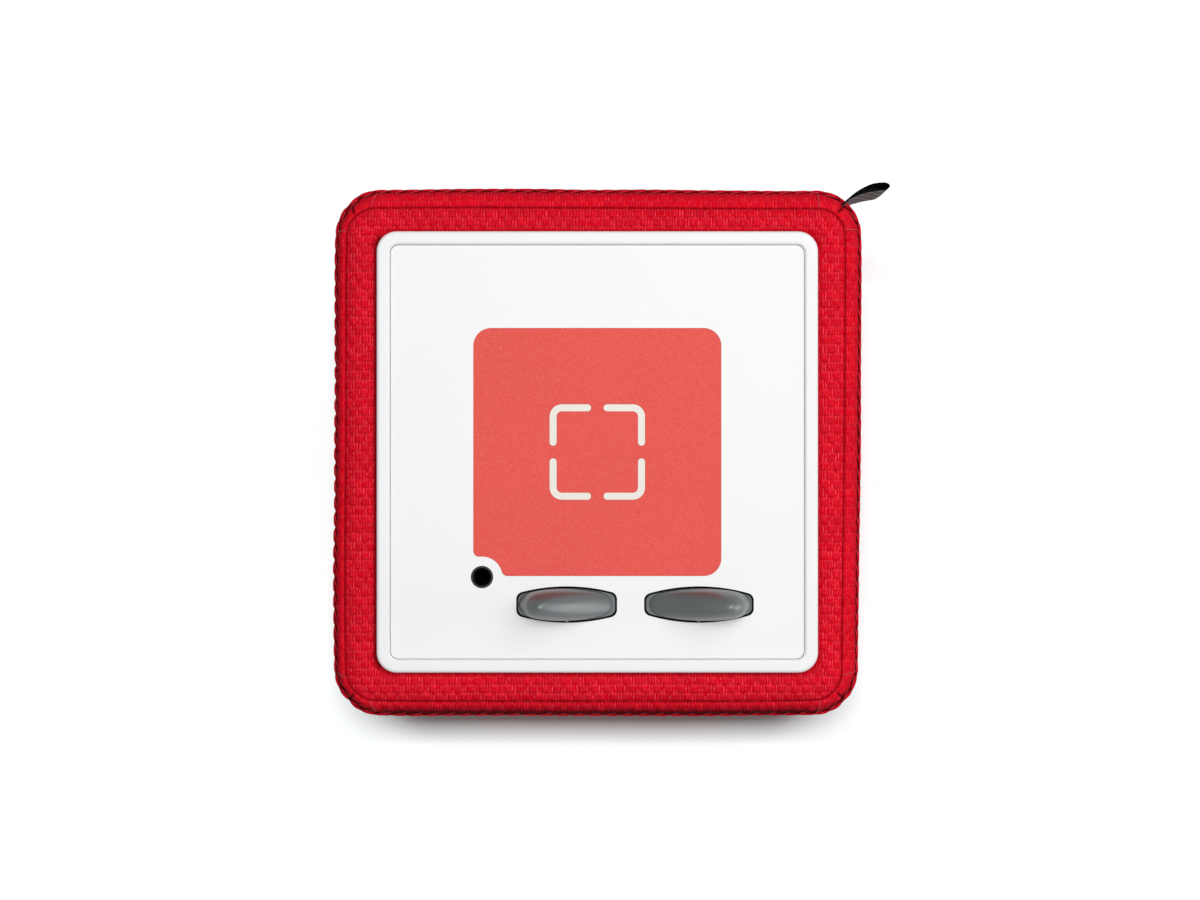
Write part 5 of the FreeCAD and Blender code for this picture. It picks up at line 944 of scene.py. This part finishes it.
# ivory second shot: warm white, as satin as the plate
dress(moulded("ivory_second_shot", "#e9e5dc", "#e4dfd5", 0.45, 0.3, 0.012, 0.4), "dock_mark")

# ------------ headphone socket
# A turned-looking collar of black ABS lines the 3.5 mm hole. Its bevel is
# polished and catches a grey ring of light.
# polished ABS: deep black under a thin gloss
dress(moulded("polished_black_abs", "#050505", "#090909", 0.30, 0.6, 0.006, 0.15), "socket_collar")
# matt nylon contact housing: swallows the light that falls into the hole
dress(moulded("matt_black_nylon", "#050505", "#080808", 0.9, 0.4, 0.02, 0.05), "headphone_socket")

# ------------ levers and button
# Two rocking ears, moulded in dark grey ABS with a satin skin, stand in
# lens-shaped slots and turn on steel pins. The power button is of the same plastic.
# satin grey ABS: neutral with a green cast, and a broad soft highlight
dress(moulded("satin_grey_abs", "#606566", "#666b6c", 0.32, 0.3, 0.010), "power_button")
# darker on the ears; their skirts, down in the slots, get painted shade: a darker colour and a lower specular level
ear_finish = moulded("satin_grey_ear_abs", "#4f5455", "#555a5b", 0.34, 0.3, 0.010)
tree = ear_finish.node_tree
skirt_shade_top = 0.1250
height = add(tree, "ShaderNodeSeparateXYZ", {"Vector": tree.nodes["Texture Coordinate"].outputs["Object"]})
unshaded = add(tree, "ShaderNodeMapRange", {
    0: height.outputs["Z"], 1: skirt_shade_top - 0.001, 2: skirt_shade_top, 3: 0.9}, interpolation_type="SMOOTHSTEP")
shader = tree.nodes["Principled BSDF"]
tint = shader.inputs["Base Color"].links[0].from_socket
skirt_shade_tint = add(tree, "ShaderNodeHueSaturation", {"Color": tint, "Value": unshaded})
gloss = add(tree, "ShaderNodeMapRange", {0: unshaded, 1: 0.9, 3: 0.12, 4: 0.5})
feed(shader, {"Base Color": skirt_shade_tint, "Specular IOR Level": gloss})
dress(ear_finish, "volume_lever", "track_lever")

# ------------ slot linings
# A thin black sheet lines the wall of each lever slot, and its rim laps over
# the edge. It is painted shade: it makes the gap round the ears black.
walls, lining_mesh = welded("top_panel")
lever_boxes = [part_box(name) for name in ("volume_lever", "track_lever")]
beside, rim_lap = 0.001, 0.00005            # reach round a lever, and the rim's lap, in metres


def lines_slot(face):
    """Whether a face of the panel is a wall round one of the levers."""
    middle = face.calc_center_median()
    return abs(face.normal.z) <= 0.9 and any(
        low.x - beside < middle.x < high.x + beside and low.y - beside < middle.y < high.y + beside
        for low, high in lever_boxes)


bmesh.ops.delete(walls, context="FACES", geom=[face for face in walls.faces if not lines_slot(face)])
panel_face = max(point.co.z for point in walls.verts)
for point in walls.verts:
    if point.co.z > panel_face - 2 * rim_lap:
        point.co.z += rim_lap
walls.to_mesh(lining_mesh)
walls.free()
lining_mesh.shade_smooth()
# a dull black sheet, painted shade in the slots. Its wall is 0.2 mm thick
lining_mesh.materials.clear()
lining_mesh.materials.append(moulded("black_slot_shade_sheet", "#0a0a0b", "#0e0e0f", 0.7, 0.5, 0.01, 0.2))
linings = put("slot_shade_linings", lining_mesh)
thick = linings.modifiers.new("thickness", "SOLIDIFY")
thick.thickness = 0.0002
thick.offset = -0.78
linings.data = plain_mesh(linings)
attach(linings, "player")

# ------------ light pipe
# A rod of clear acrylic brings the status light through the service plate.
# polished acrylic: clear, with a slight haze in patches of 1.4 mm
acrylic, tree, shader, place = new_finish("clear_acrylic")
haze = add(tree, "ShaderNodeTexNoise", {"Vector": place, "Scale": 700.0})
gloss = add(tree, "ShaderNodeMapRange", {0: haze, 3: 0.05, 4: 0.16})
feed(shader, {"Base Color": "#eef4f2", "Roughness": gloss, "Transmission Weight": 0.85, "IOR": 1.49})
dress(acrylic, "status_light_pipe")
